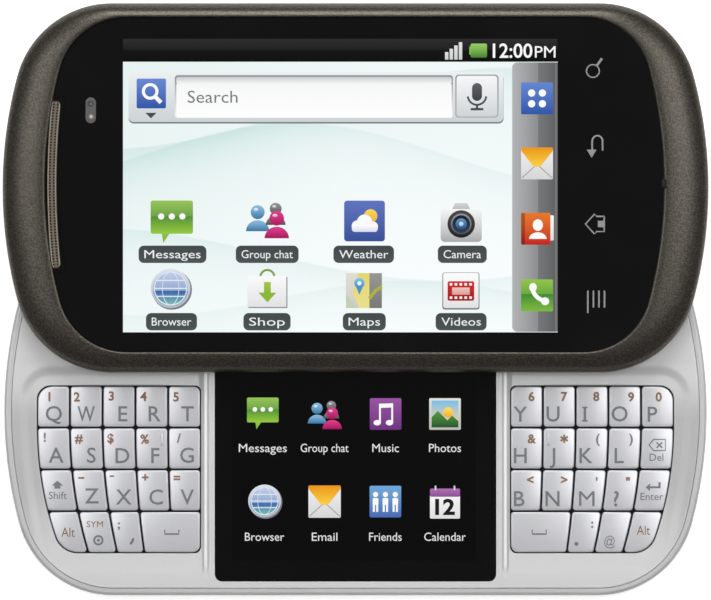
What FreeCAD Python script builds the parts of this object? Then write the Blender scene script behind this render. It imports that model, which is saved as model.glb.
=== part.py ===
import FreeCAD, Part
import math
import os
from types import SimpleNamespace

import Sketcher

# A slider phone lying open on its back. The base half holds a split keyboard and a small
# second display; the display half holds the touchscreen and slides straight over the base.
# The origin is the centre of the base half's flat back. +X runs along the length, +Y is the
# way the display half opens and +Z comes up out of the screens. Lengths are in millimetres.

SIZES = {
    # outline of both halves, seen from above: straight sides, corner arcs and end arcs
    "half_length": 60.7,
    "half_width": 31.75,
    "corner_radius": 16.86,
    "end_radius": 74.5,
    "slide_travel": 38.6,
    # heights of the base half, from the back upwards
    "cover_thickness": 0.85,
    "case_floor": 0.8,
    "case_height": 6.2,
    "band_height": 2.1,
    "deck_rise": 0.2,
    "deck_thickness": 1.6,
    "board_thickness": 0.8,
    "mat_thickness": 0.6,
    # heights of the display half, from the gap between the halves upwards
    "slide_gap": 0.35,
    "slide_plate_thickness": 0.6,
    "spring_bay_height": 1.3,
    "bay_roof": 0.4,
    "back_cover_wall_height": 1.75,
    "module_thickness": 3.2,
    "lens_gap": 0.1,
    "lens_thickness": 0.9,
    "crown_rise": 0.35,
    # display half
    "bezel_wall": 1.5,
    "bezel_floor": 1.1,
    "crown_low_drop": 2.9,
    "crown_mid_drop": 1.15,
    "crown_high_drop": 0.3,
    "crown_mid_side": 0.55,
    "crown_mid_end": 0.9,
    "crown_high_side": 1.2,
    "crown_high_end": 2.3,
    "crown_top_side": 1.8,
    "crown_top_end": 3.9,
    "back_cover_round": 1.0,
    "lens_half_length": 53.1,
    "lens_half_width": 28.62,
    "lens_corner_radius": 11.7,
    "lens_end_radius": 77.4,
    "lens_shift": 0.5,
    "lens_fit": 0.06,
    "lens_ledge": 1.2,
    "screen_center_x": -2.5,
    "screen_center_y": 0.4,
    "module_length": 79.6,
    "module_width": 53.4,
    "grille_half_height": 14.4,
    "grille_width": 1.6,
    "grille_inset": 1.2,
    "grille_fit": 0.05,
    "grille_top_drop": 0.1,
    "capsule_length": 6.0,
    "capsule_width": 12.0,
    "capsule_height": 2.4,
    # slide mechanism
    "guide_low_y": 10.4,
    "guide_high_y": 28.3,
    "guide_half_length": 42.0,
    "guide_thickness": 0.6,
    "shoe_center_x": 38.0,
    "shoe_low_y": 10.9,
    "shoe_length": 16.9,
    "shoe_neck_width": 2.9,
    "shoe_head_width": 5.0,
    "shoe_head_height": 0.55,
    "running_gap": 0.05,
    "stake_radius": 0.9,
    "stake_spacing_x": 60.0,
    "stake_spacing_y": 12.0,
    "plate_half_length": 46.0,
    "plate_half_width": 29.6,
    "plate_corner": 5.0,
    "plate_stake_x": 44.4,
    "plate_stake_y": 18.0,
    "bay_half_length": 42.6,
    "bay_half_width": 28.4,
    "bay_corner": 1.0,
    "flex_width": 10.0,
    "flex_thickness": 0.2,
    "flex_low_y": 11.9,
    "flex_run": 20.0,
    "flex_bend": 1.0,
    "flex_slot_side": 1.0,
    "spring_wire_radius": 0.25,
    "spring_pin_radius": 0.5,
    "spring_moving_x": 13.0,
    "spring_elbow_x": 18.0,
    "spring_elbow_radius": 6.0,
    # band, deck and recess
    "band_width": 1.25,
    "band_round": 0.6,
    "deck_seam": 0.08,
    "deck_edge_round": 0.35,
    "recess_depth": 0.45,
    "recess_high_y": 7.1,
    "recess_low_y": -28.0,
    "recess_outer_x": 57.4,
    "recess_inner_x": 26.1,
    "recess_high_corner": 3.0,
    "recess_low_corner": 14.0,
    "recess_inner_corner": 1.0,
    # keyboard, one cluster on each side
    "cluster_inner_x": 26.85,
    "column_pitch": 5.62,
    "cluster_high_y": 4.48,
    "row_pitch": 7.22,
    "key_gap": 0.33,
    "key_thickness": 1.2,
    "key_top_drop": 0.05,
    "key_corner": 0.5,
    "key_edge_round": 0.25,
    "cluster_top_outer_corner": 2.4,
    "cluster_top_inner_corner": 1.06,
    "cluster_low_outer_corner": 4.2,
    "cluster_low_inner_corner": 1.2,
    "bow_radius_1": 284.0,
    "bow_radius_2": 155.0,
    "bow_radius_3": 93.0,
    "bow_radius_4": 72.0,
    "bow_radius_5": 55.0,
    "mat_margin": 1.0,
    "mat_corner": 12.0,
    # second display
    "inner_half_length": 24.3,
    "inner_low_y": -29.31,
    "inner_high_y": 10.0,
    "inner_corner": 1.3,
    "inner_lens_thickness": 0.8,
    "inner_fit": 0.06,
    "inner_module_half_length": 22.9,
    "inner_module_low_y": -28.0,
    "inner_module_high_y": 8.6,
    "inner_module_gap": 0.05,
    "inner_module_thickness": 1.35,
    # rear case, cover, battery and board
    "case_wall": 1.3,
    "case_round": 2.4,
    "cover_inset": 2.8,
    "cover_fit": 0.08,
    "cover_edge": 0.2,
    "nail_notch_radius": 4.0,
    "nail_notch_depth": 1.2,
    "battery_center_x": 4.0,
    "battery_length": 54.0,
    "battery_width": 42.0,
    "battery_gap": 0.1,
    "battery_corner": 1.5,
    "bay_clearance": 0.3,
    "bay_wall": 0.8,
    "board_inset": 2.2,
    "boss_radius": 1.9,
    "screw_high_x": 50.0,
    "screw_high_y": 18.0,
    "screw_low_x": 40.0,
    "screw_low_y": -27.3,
    "screw_head_radius": 1.3,
    "screw_head_height": 0.6,
    "screw_radius": 0.7,
    "screw_gap": 0.05,
    "screw_bite": 0.9,
    "screw_slot_depth": 0.25,
    "jack_y": 12.0,
    "jack_z": 3.95,
    "jack_radius": 1.8,
    "jack_depth": 14.0,
    "jack_body_width": 6.2,
    "jack_body_height": 4.3,
    "jack_mouth_gap": 0.1,
    "socket_set_back": 3.0,
    "usb_y": -12.0,
    "usb_width": 7.5,
    "usb_height": 2.6,
    "usb_length": 5.6,
    "usb_shell": 0.35,
    "socket_wall": 1.0,
    "camera_x": -36.0,
    "camera_window_radius": 4.2,
    "camera_lip_radius": 4.9,
    "camera_lip_height": 0.3,
    "camera_set_in": 0.25,
    "camera_module_side": 8.5,
    "speaker_x": 46.0,
    "speaker_y": -13.0,
    "speaker_length": 13.0,
    "speaker_width": 9.0,
    "speaker_slot_length": 9.0,
    "speaker_slot_width": 0.9,
    "speaker_slot_pitch": 2.0,
    "shield_length": 17.0,
    "shield_width": 16.0,
    "shield_height": 1.5,
    "shield_x": 45.0,
    "shield_y": 3.0,
    "motor_x": 40.5,
    "motor_y": 17.0,
    "motor_radius": 1.8,
    "motor_length": 9.0,
    # side keys in the wall of the rear case
    "side_key_low_z": 3.3,
    "side_key_height": 1.9,
    "side_key_gap": 0.12,
    "side_key_stand": 0.45,
    "side_key_back": 0.95,
    "side_key_round": 0.35,
    "power_key_x": -28.0,
    "power_key_length": 9.0,
    "volume_rocker_x": 26.0,
    "volume_rocker_length": 20.0,
}

XY, XZ, YZ = "XY_Plane", "XZ_Plane", "YZ_Plane"
UP = FreeCAD.Vector(0, 0, 1)


class Length:
    """A length with the formula that gives it in the sheet, and its number now."""

    def __init__(self, formula, value):
        self.formula = formula
        self.value = value

    def __add__(self, other):
        other = as_length(other)
        return Length(f"({self.formula} + {other.formula})", self.value + other.value)

    def __sub__(self, other):
        other = as_length(other)
        return Length(f"({self.formula} - {other.formula})", self.value - other.value)

    def __mul__(self, factor):
        return Length(f"({self.formula} * {factor})", self.value * factor)

    def __truediv__(self, divisor):
        return Length(f"({self.formula} / {divisor})", self.value / divisor)

    def __neg__(self):
        return self * -1


def as_length(value):
    """Take a plain number as a length."""
    return value if isinstance(value, Length) else Length(str(value), float(value))


NOTHING = as_length(0)

doc = FreeCAD.newDocument("slider_phone")
sheet = doc.addObject("Spreadsheet::Sheet", "Sizes")
sheet_rows = []


def add_to_sheet(name, text, value):
    """Put one named cell into the sheet and return the length that stands for it."""
    sheet_rows.append(name)
    cell = f"B{len(sheet_rows)}"
    sheet.set(f"A{len(sheet_rows)}", name)
    sheet.set(cell, text)
    sheet.setAlias(cell, name)
    return Length(f"Sizes.{name}", value)


def derive(name, length):
    """Keep a worked out length in the sheet under its own name."""
    return add_to_sheet(name, "=" + length.formula.replace("Sizes.", ""), length.value)


S = SimpleNamespace(
    **{name: add_to_sheet(name, str(value), value) for name, value in SIZES.items()}
)

# heights that several pieces share
floor_top = derive("floor_top", S.cover_thickness + S.case_floor)
deck_top = derive("deck_top", S.case_height + S.band_height + S.deck_rise)
deck_bottom = derive("deck_bottom", deck_top - S.deck_thickness)
mat_bottom = derive("mat_bottom", deck_bottom - S.mat_thickness)
board_bottom = derive("board_bottom", S.case_height - S.board_thickness)
recess_floor = derive("recess_floor", deck_top - S.recess_depth)
key_top = derive("key_top", deck_top - S.key_top_drop)
key_bottom = derive("key_bottom", key_top - S.key_thickness)
slide_bottom = derive("slide_bottom", deck_top + S.slide_gap)
slide_plate_top = derive("slide_plate_top", slide_bottom + S.slide_plate_thickness)
bay_top = derive("bay_top", slide_plate_top + S.spring_bay_height)
cover_top = derive("cover_top", bay_top + S.bay_roof)
bezel_bottom = derive("bezel_bottom", slide_bottom + S.back_cover_wall_height)
module_top = derive("module_top", cover_top + S.module_thickness)
lens_bottom = derive("lens_bottom", module_top + S.lens_gap)
lens_top = derive("lens_top", lens_bottom + S.lens_thickness)
crown_top = derive("crown_top", lens_top + S.crown_rise)
inner_lens_bottom = derive("inner_lens_bottom", deck_top - S.inner_lens_thickness)
shoe_high_y = derive("shoe_high_y", S.shoe_low_y + S.shoe_length)
shoe_head_bottom = derive("shoe_head_bottom", slide_plate_top + S.running_gap)
shoe_head_top = derive("shoe_head_top", shoe_head_bottom + S.shoe_head_height)
deck_inset = derive("deck_inset", S.band_width + S.deck_seam)
doc.recompute()


def bind(feature, name, length):
    """Tie one property of a feature to the sheet."""
    feature.setExpression(name, length.formula)


def new_body(label, on_display_half=False, many_solids=False):
    """Start a piece; pieces of the display half stand where the open slide puts them."""
    body = doc.addObject("PartDesign::Body", label)
    body.Label = label
    body.AllowCompound = many_solids
    if on_display_half:
        bind(body, ".Placement.Base.y", S.slide_travel)
    return body


def new_sketch(body, height=NOTHING, plane=XY):
    """Start a sketch on one of the body's own origin planes, moved along its normal."""
    sketch = body.newObject("Sketcher::SketchObject", body.Name + "_sketch")
    support = next(f for f in body.Origin.OriginFeatures if f.Role == plane)
    sketch.AttachmentSupport = [(support, "")]
    sketch.MapMode = "FlatFace"
    bind(sketch, ".AttachmentOffset.Base.z", height)
    return sketch


def dimension(sketch, kind, places, length):
    """Add a dimension to a sketch and tie it to the sheet."""
    index = sketch.addConstraint(Sketcher.Constraint(kind, *places, length.value))
    sketch.setExpression(f"Constraints[{index}]", length.formula)


def place_point(sketch, geometry, point, x=None, y=None):
    """Set a point's distances from the sketch's origin."""
    if x is not None:
        dimension(sketch, "DistanceX", (-1, 1, geometry, point), x)
    if y is not None:
        dimension(sketch, "DistanceY", (-1, 1, geometry, point), y)


def arc(x, y, radius, start, end):
    """An arc about (x, y) between two angles in radians."""
    circle = Part.Circle(FreeCAD.Vector(x, y, 0), UP, radius)
    return Part.ArcOfCircle(circle, start, end)


def line(x0, y0, x1, y1):
    """A straight edge."""
    return Part.LineSegment(FreeCAD.Vector(x0, y0, 0), FreeCAD.Vector(x1, y1, 0))


def add_outline(sketch, half_length, half_width, corner, end, center_y=NOTHING):
    """Closed outline: straight sides joined by corner arcs to one shallow arc at each end.

    A corner arc touches the side and the end arc, so its centre lies end - corner away from
    the end arc's centre and half_width - corner above the middle line.
    """
    a, b, r, big, y0 = (q.value for q in (half_length, half_width, corner, end, center_y))
    corner_x = a - big + math.sqrt((big - r) ** 2 - (b - r) ** 2)
    lean = math.atan2(b - r, corner_x - (a - big))
    quarter = math.pi / 2
    edges = [
        arc(a - big, y0, big, -lean, lean),
        arc(corner_x, y0 + b - r, r, lean, quarter),
        line(corner_x, y0 + b, -corner_x, y0 + b),
        arc(-corner_x, y0 + b - r, r, quarter, math.pi - lean),
        arc(big - a, y0, big, math.pi - lean, math.pi + lean),
        arc(-corner_x, y0 + r - b, r, math.pi + lean, 3 * quarter),
        line(-corner_x, y0 - b, corner_x, y0 - b),
        arc(corner_x, y0 + r - b, r, 3 * quarter, 4 * quarter - lean),
    ]
    ids = list(sketch.addGeometry(edges, False))
    rules = [
        Sketcher.Constraint("Tangent", ids[i], 2, ids[(i + 1) % 8], 1) for i in range(8)
    ]
    rules += [Sketcher.Constraint("Horizontal", ids[i]) for i in (2, 6)]
    rules += [Sketcher.Constraint("Equal", ids[1], ids[i]) for i in (3, 5, 7)]
    rules.append(Sketcher.Constraint("Equal", ids[0], ids[4]))
    sketch.addConstraint(rules)
    dimension(sketch, "Radius", (ids[1],), corner)
    dimension(sketch, "Radius", (ids[0],), end)
    place_point(sketch, ids[2], 1, y=center_y + half_width)
    place_point(sketch, ids[6], 1, y=center_y - half_width)
    place_point(sketch, ids[0], 3, x=half_length - end, y=center_y)
    place_point(sketch, ids[4], 3, x=end - half_length, y=center_y)


def add_body_outline(sketch, inset=NOTHING, end_inset=None):
    """The outline of both halves, moved in by an inset, which may differ at the ends."""
    add_outline(
        sketch,
        S.half_length - (inset if end_inset is None else end_inset),
        S.half_width - inset,
        S.corner_radius - inset,
        S.end_radius - inset,
    )


def add_lens_outline(sketch, grow=NOTHING):
    """The outline of the cover glass, grown or shrunk by a clearance."""
    add_outline(
        sketch,
        S.lens_half_length + grow,
        S.lens_half_width + grow,
        S.lens_corner_radius + grow,
        S.lens_end_radius + grow,
        S.lens_shift,
    )


def add_rectangle(sketch, low_x, high_x, low_y, high_y, corners=None):
    """A rectangle; corners gives the radius at low left, low right, high right, high left."""
    x0, x1, y0, y1 = (q.value for q in (low_x, high_x, low_y, high_y))
    radii = corners or [None] * 4
    points = [(x0, y0), (x1, y0), (x1, y1), (x0, y1)]
    inward = [(1, 1), (-1, 1), (-1, -1), (1, -1)]
    turn = [math.pi, 1.5 * math.pi, 0, 0.5 * math.pi]
    r = [q.value if q else 0 for q in radii]
    starts, ends = [], []
    for i, (x, y) in enumerate(points):
        ends.append((x + inward[i][0] * r[i] * (i % 2), y + inward[i][1] * r[i] * ((i + 1) % 2)))
        starts.append((x + inward[i][0] * r[i] * ((i + 1) % 2), y + inward[i][1] * r[i] * (i % 2)))
    sides = [line(*starts[i], *ends[(i + 1) % 4]) for i in range(4)]
    ids = list(sketch.addGeometry(sides, False))
    rules = [Sketcher.Constraint("Horizontal", ids[i]) for i in (0, 2)]
    rules += [Sketcher.Constraint("Vertical", ids[i]) for i in (1, 3)]
    for i in range(4):
        before = ids[(i + 3) % 4]
        if radii[i] is None:
            rules.append(Sketcher.Constraint("Coincident", before, 2, ids[i], 1))
            continue
        x = points[i][0] + inward[i][0] * r[i]
        y = points[i][1] + inward[i][1] * r[i]
        bend = sketch.addGeometry(arc(x, y, r[i], turn[i], turn[i] + math.pi / 2), False)
        rules.append(Sketcher.Constraint("Tangent", before, 2, bend, 1))
        rules.append(Sketcher.Constraint("Tangent", bend, 2, ids[i], 1))
        dimension(sketch, "Radius", (bend,), radii[i])
    sketch.addConstraint(rules)
    place_point(sketch, ids[0], 1, y=low_y)
    place_point(sketch, ids[1], 1, x=high_x)
    place_point(sketch, ids[2], 1, y=high_y)
    place_point(sketch, ids[3], 1, x=low_x)


def add_circle(sketch, x, y, radius):
    """A circle."""
    circle = Part.Circle(FreeCAD.Vector(x.value, y.value, 0), UP, radius.value)
    index = sketch.addGeometry(circle, False)
    dimension(sketch, "Radius", (index,), radius)
    place_point(sketch, index, 3, x, y)


def solid_feature(body, kind, sketch, length, reverse=False):
    """A pad or pocket of one sketch; reverse turns it to the other side of its plane."""
    feature = body.newObject("PartDesign::" + kind, f"{body.Name}_{kind}")
    feature.Profile = sketch
    bind(feature, "Length", length)
    feature.Reversed = reverse
    sketch.Visibility = False
    return feature


def pad(body, sketch, length, reverse=False):
    """Add material along the sketch's normal."""
    return solid_feature(body, "Pad", sketch, length, reverse)


def pocket(body, sketch, length, reverse=False):
    """Cut against the sketch's normal and make sure that something was cut."""
    before = body.Tip
    doc.recompute()
    old = before.Shape.Volume
    feature = solid_feature(body, "Pocket", sketch, length, reverse)
    doc.recompute()
    if not feature.Shape.Volume < old:
        raise ValueError(f"{feature.Name} cuts nothing")
    return feature


def edges_where(shape, test):
    """Names of the edges whose box passes a test."""
    return [f"Edge{i}" for i, e in enumerate(shape.Edges, 1) if test(e.BoundBox)]


def round_edges(body, radius, test, kind="Fillet"):
    """Round or chamfer every edge that passes the test."""
    base = body.Tip
    doc.recompute()
    names = edges_where(base.Shape, test)
    if not names:
        raise ValueError(f"{body.Name} has no such edge")
    feature = body.newObject("PartDesign::" + kind, f"{body.Name}_{kind}")
    feature.Base = (base, names)
    bind(feature, "Radius" if kind == "Fillet" else "Size", radius)
    base.Visibility = False
    doc.recompute()
    return feature


def at_height(height):
    """Test for edges that lie flat at one height."""
    z = height.value
    return lambda box: abs(box.ZMin - z) < 1e-4 and abs(box.ZMax - z) < 1e-4


def box_between(label, low, high):
    """A plain block between two corners, given as lengths."""
    block = doc.addObject("Part::Box", label)
    for name, axis, a, b in zip(("Length", "Width", "Height"), "xyz", low, high):
        bind(block, name, b - a)
        bind(block, f".Placement.Base.{axis}", a)
    return block


def corner_points(half_x, low_y, high_y=None):
    """The four points at plus and minus half_x and at the two heights in plan."""
    high_y = -low_y if high_y is None else high_y
    return [(x, y) for x in (half_x, -half_x) for y in (low_y, high_y)]


def make_screw_circles(sketch, radius):
    """One circle at each case screw."""
    for x in (S.screw_high_x, -S.screw_high_x):
        add_circle(sketch, x, S.screw_high_y, radius)
    for x in (S.screw_low_x, -S.screw_low_x):
        add_circle(sketch, x, S.screw_low_y, radius)


def add_speaker_slots(sketch):
    """Three sound slots side by side."""
    for step in (-1, 0, 1):
        middle = S.speaker_y + S.speaker_slot_pitch * step
        add_rectangle(
            sketch,
            S.speaker_x - S.speaker_slot_length / 2,
            S.speaker_x + S.speaker_slot_length / 2,
            middle - S.speaker_slot_width / 2,
            middle + S.speaker_slot_width / 2,
        )


def add_centered(sketch, x, y, length, width, grow=NOTHING, corner=None):
    """A rectangle about a middle point, grown by a clearance on every side."""
    corners = [corner] * 4 if corner else None
    half_length = length / 2 + grow
    half_width = width / 2 + grow
    add_rectangle(
        sketch, x - half_length, x + half_length, y - half_width, y + half_width, corners
    )


SIDE_KEYS = {
    "power_key": (S.power_key_x, S.power_key_length),
    "volume_rocker": (S.volume_rocker_x, S.volume_rocker_length),
}


def make_rear_case():
    """The lower shell: a tub with the battery bay, the screw posts and the sockets' mouths."""
    body = new_body("rear_case")
    shell = new_sketch(body)
    add_body_outline(shell)
    pad(body, shell, S.case_height)
    round_edges(body, S.case_round, at_height(NOTHING))
    hollow = new_sketch(body, S.case_height)
    add_body_outline(hollow, S.case_wall)
    pocket(body, hollow, S.case_height - floor_top)
    seat = new_sketch(body)
    add_body_outline(seat, S.cover_inset)
    pocket(body, seat, S.cover_thickness, reverse=True)
    battery = (S.battery_center_x, NOTHING, S.battery_length, S.battery_width)
    bay_walls = new_sketch(body, S.cover_thickness)
    add_centered(bay_walls, *battery, S.bay_clearance + S.bay_wall)
    add_centered(bay_walls, *battery, S.bay_clearance)
    pad(body, bay_walls, board_bottom - S.cover_thickness)
    posts = new_sketch(body, S.cover_thickness)
    make_screw_circles(posts, S.boss_radius)
    pad(body, posts, board_bottom - S.cover_thickness)
    floor_cuts = new_sketch(body, S.cover_thickness)
    add_centered(floor_cuts, *battery, S.bay_clearance)
    add_circle(floor_cuts, S.camera_x, NOTHING, S.camera_window_radius + S.cover_fit)
    add_speaker_slots(floor_cuts)
    pocket(body, floor_cuts, S.case_floor, reverse=True)
    head_seats = new_sketch(body, S.cover_thickness)
    make_screw_circles(head_seats, S.screw_head_radius + S.screw_gap)
    pocket(body, head_seats, S.screw_head_height + S.screw_gap, reverse=True)
    holes = new_sketch(body, S.cover_thickness)
    make_screw_circles(holes, S.screw_radius + S.screw_gap)
    pocket(body, holes, board_bottom - S.cover_thickness, reverse=True)
    mouths = new_sketch(body, -(S.half_length + S.socket_set_back), YZ)
    add_circle(mouths, S.jack_y, S.jack_z, S.jack_radius + S.jack_mouth_gap)
    usb_z = board_bottom - S.usb_height / 2
    add_centered(mouths, S.usb_y, usb_z, S.usb_width, S.usb_height, S.jack_mouth_gap)
    pocket(body, mouths, S.socket_set_back * 2, reverse=True)
    key_slots = new_sketch(body, S.case_wall * 2 - S.half_width, XZ)
    for x, length in SIDE_KEYS.values():
        middle_z = S.side_key_low_z + S.side_key_height / 2
        add_centered(key_slots, x, middle_z, length, S.side_key_height, S.side_key_gap)
    pocket(body, key_slots, S.case_wall * 3)
    return body


def make_battery_cover():
    """The flat cover let into the back, with the camera's hole and the sound slots."""
    body = new_body("battery_cover")
    plate = new_sketch(body)
    add_body_outline(plate, S.cover_inset + S.cover_fit)
    pad(body, plate, S.cover_thickness)
    round_edges(body, S.cover_edge, at_height(NOTHING), "Chamfer")
    cuts = new_sketch(body)
    add_circle(cuts, S.camera_x, NOTHING, S.camera_window_radius + S.cover_fit)
    add_speaker_slots(cuts)
    pocket(body, cuts, S.cover_thickness, reverse=True)
    notch = new_sketch(body)
    notch_x = S.half_length - S.cover_inset - S.nail_notch_depth + S.nail_notch_radius
    add_circle(notch, notch_x, NOTHING, S.nail_notch_radius)
    pocket(body, notch, S.cover_thickness, reverse=True)
    return body


def make_battery():
    """The flat cell in its bay."""
    body = new_body("battery")
    low = S.cover_thickness + S.battery_gap
    cell = new_sketch(body, low)
    add_centered(
        cell,
        S.battery_center_x,
        NOTHING,
        S.battery_length,
        S.battery_width,
        corner=S.battery_corner,
    )
    pad(body, cell, board_bottom - S.battery_gap - low)
    return body


def make_circuit_board():
    """The bare board, cut out round the headset jack and drilled for the screws."""
    board = new_body("bare_board")
    plate = new_sketch(board, board_bottom)
    add_body_outline(plate, S.board_inset)
    pad(board, plate, S.board_thickness)
    cuts = new_sketch(board, board_bottom)
    make_screw_circles(cuts, S.screw_radius + S.screw_gap)
    pocket(board, cuts, S.board_thickness, reverse=True)
    notch = new_sketch(board, board_bottom)
    notch_end = S.half_length - S.socket_set_back - S.jack_depth - S.socket_wall
    half_notch = S.jack_body_width / 2 + S.bay_clearance
    add_rectangle(
        notch,
        -(S.half_length),
        S.bay_clearance - notch_end,
        S.jack_y - half_notch,
        S.jack_y + half_notch,
    )
    pocket(board, notch, S.board_thickness, reverse=True)
    return board


def make_socket(label, y, z, width, height, depth, add_mouth):
    """A socket block behind the left end, open towards the end and closed at its back."""
    socket = new_body(label)
    start = S.socket_set_back - S.half_length
    block = new_sketch(socket, start, YZ)
    add_centered(block, y, z, width, height)
    pad(socket, block, depth + S.socket_wall)
    mouth = new_sketch(socket, start, YZ)
    add_mouth(mouth)
    pocket(socket, mouth, depth, reverse=True)
    return socket


def make_main_board():
    """The circuit board with what is soldered to it."""
    usb_z = board_bottom - S.usb_height / 2
    jack = make_socket(
        "headset_jack",
        S.jack_y,
        S.jack_z,
        S.jack_body_width,
        S.jack_body_height,
        S.jack_depth,
        lambda sketch: add_circle(sketch, S.jack_y, S.jack_z, S.jack_radius),
    )
    usb = make_socket(
        "charging_socket",
        S.usb_y,
        usb_z,
        S.usb_width,
        S.usb_height,
        S.usb_length,
        lambda sketch: add_centered(
            sketch, S.usb_y, usb_z, S.usb_width, S.usb_height, -(S.usb_shell)
        ),
    )
    blocks = {
        "shield_can": (
            S.shield_x, S.shield_y, S.shield_length, S.shield_width,
            board_bottom - S.shield_height,
        ),
        "loud_speaker": (
            S.speaker_x, S.speaker_y, S.speaker_length, S.speaker_width,
            floor_top + S.battery_gap,
        ),
        "camera_module": (
            S.camera_x, NOTHING, S.camera_module_side, S.camera_module_side,
            floor_top + S.camera_lip_height + S.battery_gap,
        ),
    }
    links = [make_circuit_board(), jack, usb]
    for label, (x, y, length, width, low) in blocks.items():
        corner = (x - length / 2, y - width / 2, low)
        links.append(
            box_between(label, corner, (x + length / 2, y + width / 2, board_bottom))
        )
    motor = doc.addObject("Part::Cylinder", "vibration_motor")
    bind(motor, "Radius", S.motor_radius)
    bind(motor, "Height", S.motor_length)
    motor.Placement = FreeCAD.Placement(
        FreeCAD.Vector(), FreeCAD.Rotation(FreeCAD.Vector(0, 1, 0), 90)
    )
    bind(motor, ".Placement.Base.x", S.motor_x - S.motor_length / 2)
    bind(motor, ".Placement.Base.y", S.motor_y)
    bind(motor, ".Placement.Base.z", board_bottom - S.motor_radius)
    links.append(motor)
    return compound("main_board", links)


def compound(label, links):
    """Several solids that make one piece on the bench."""
    group = doc.addObject("Part::Compound", label)
    group.Label = label
    group.Links = links
    return group


def make_camera_lens():
    """The camera's window, a stepped disc that drops into the case floor from inside."""
    body = new_body("camera_lens")
    window = new_sketch(body, S.camera_set_in)
    add_circle(window, S.camera_x, NOTHING, S.camera_window_radius)
    pad(body, window, floor_top - S.camera_set_in)
    lip = new_sketch(body, floor_top)
    add_circle(lip, S.camera_x, NOTHING, S.camera_lip_radius)
    pad(body, lip, S.camera_lip_height)
    return body


def make_case_screws():
    """Four screws from the back through the case posts and the board into the deck."""
    body = new_body("case_screws", many_solids=True)
    low = S.cover_thickness + S.screw_gap
    heads = new_sketch(body, low)
    make_screw_circles(heads, S.screw_head_radius)
    pad(body, heads, S.screw_head_height)
    shanks = new_sketch(body, low)
    make_screw_circles(shanks, S.screw_radius)
    pad(body, shanks, deck_bottom + S.screw_bite - low)
    slots = new_sketch(body, low)
    slot = (S.screw_head_radius * 1.4, S.screw_slot_depth)
    for x in (S.screw_high_x, -S.screw_high_x):
        add_centered(slots, x, S.screw_high_y, *slot)
    for x in (S.screw_low_x, -S.screw_low_x):
        add_centered(slots, x, S.screw_low_y, *slot)
    pocket(body, slots, S.screw_slot_depth, reverse=True)
    return body


def make_side_key(label):
    """A side key in its slot; the slot's clearance goes all round it."""
    x, length = SIDE_KEYS[label]
    body = new_body(label)
    face = new_sketch(body, S.side_key_back - S.half_width, XZ)
    middle_z = S.side_key_low_z + S.side_key_height / 2
    add_centered(face, x, middle_z, length, S.side_key_height)
    pad(body, face, S.side_key_back + S.side_key_stand, reverse=True)
    outer_y = (S.half_width + S.side_key_stand).value
    round_edges(body, S.side_key_round, lambda box: box.YMin > outer_y - 1e-4)
    return body


def make_side_band():
    """The silver ring between the case and the deck."""
    body = new_body("side_band")
    block = new_sketch(body, S.case_height)
    add_body_outline(block)
    pad(body, block, S.band_height)
    round_edges(body, S.band_round, at_height(S.case_height + S.band_height))
    bore = new_sketch(body, S.case_height + S.band_height)
    add_body_outline(bore, S.band_width)
    pocket(body, bore, S.band_height)
    return body


BOWS = [
    None, S.bow_radius_1, S.bow_radius_2, S.bow_radius_3, S.bow_radius_4, S.bow_radius_5
]
bow_start_y = derive("bow_start_y", S.cluster_high_y - S.row_pitch)
cluster_low_y = derive("cluster_low_y", S.cluster_high_y - S.row_pitch * 4)
half_gap = derive("half_gap", S.key_gap / 2)


def cell_side(sketch, side, x, bow, low_y, high_y):
    """One side of a key or well: upright down to the bow's start, then an arc inwards.

    side is 1 on the right and -1 on the left, x is the distance from the middle at the top.
    Returns the edges from the top down as (geometry, top point, low point).
    """
    start_y = bow_start_y.value
    found = []
    if bow is None or high_y.value > start_y + 1e-6:
        low = low_y if bow is None or low_y.value > start_y else bow_start_y
        index = sketch.addGeometry(
            line(side * x.value, high_y.value, side * x.value, low.value), False
        )
        sketch.addConstraint(Sketcher.Constraint("Vertical", index))
        place_point(sketch, index, 1, x=x * side)
        found.append((index, 1, 2))
    if bow is None or low_y.value > start_y - 1e-6:
        return found
    center_x = x - bow
    top = min(high_y.value, start_y)
    down = [math.asin((start_y - y) / bow.value) for y in (top, low_y.value)]
    angles = (-down[1], -down[0]) if side > 0 else (math.pi + down[0], math.pi + down[1])
    index = sketch.addGeometry(
        arc(side * center_x.value, start_y, bow.value, *angles), False
    )
    ends = (2, 1) if side > 0 else (1, 2)
    dimension(sketch, "Radius", (index,), bow)
    if found:
        sketch.addConstraint(Sketcher.Constraint("Tangent", found[0][0], 2, index, ends[0]))
        place_point(sketch, index, 3, y=bow_start_y)
    else:
        place_point(sketch, index, 3, center_x * side, bow_start_y)
    found.append((index, *ends))
    return found


def low_end_x(side, x, bow, low_y):
    """Where a bowed side ends at low_y."""
    drop = bow_start_y.value - low_y.value
    shift = 0
    if bow is not None and drop > 0:
        shift = bow.value - math.sqrt(bow.value ** 2 - drop ** 2)
    return side * (x.value - shift)


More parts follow.
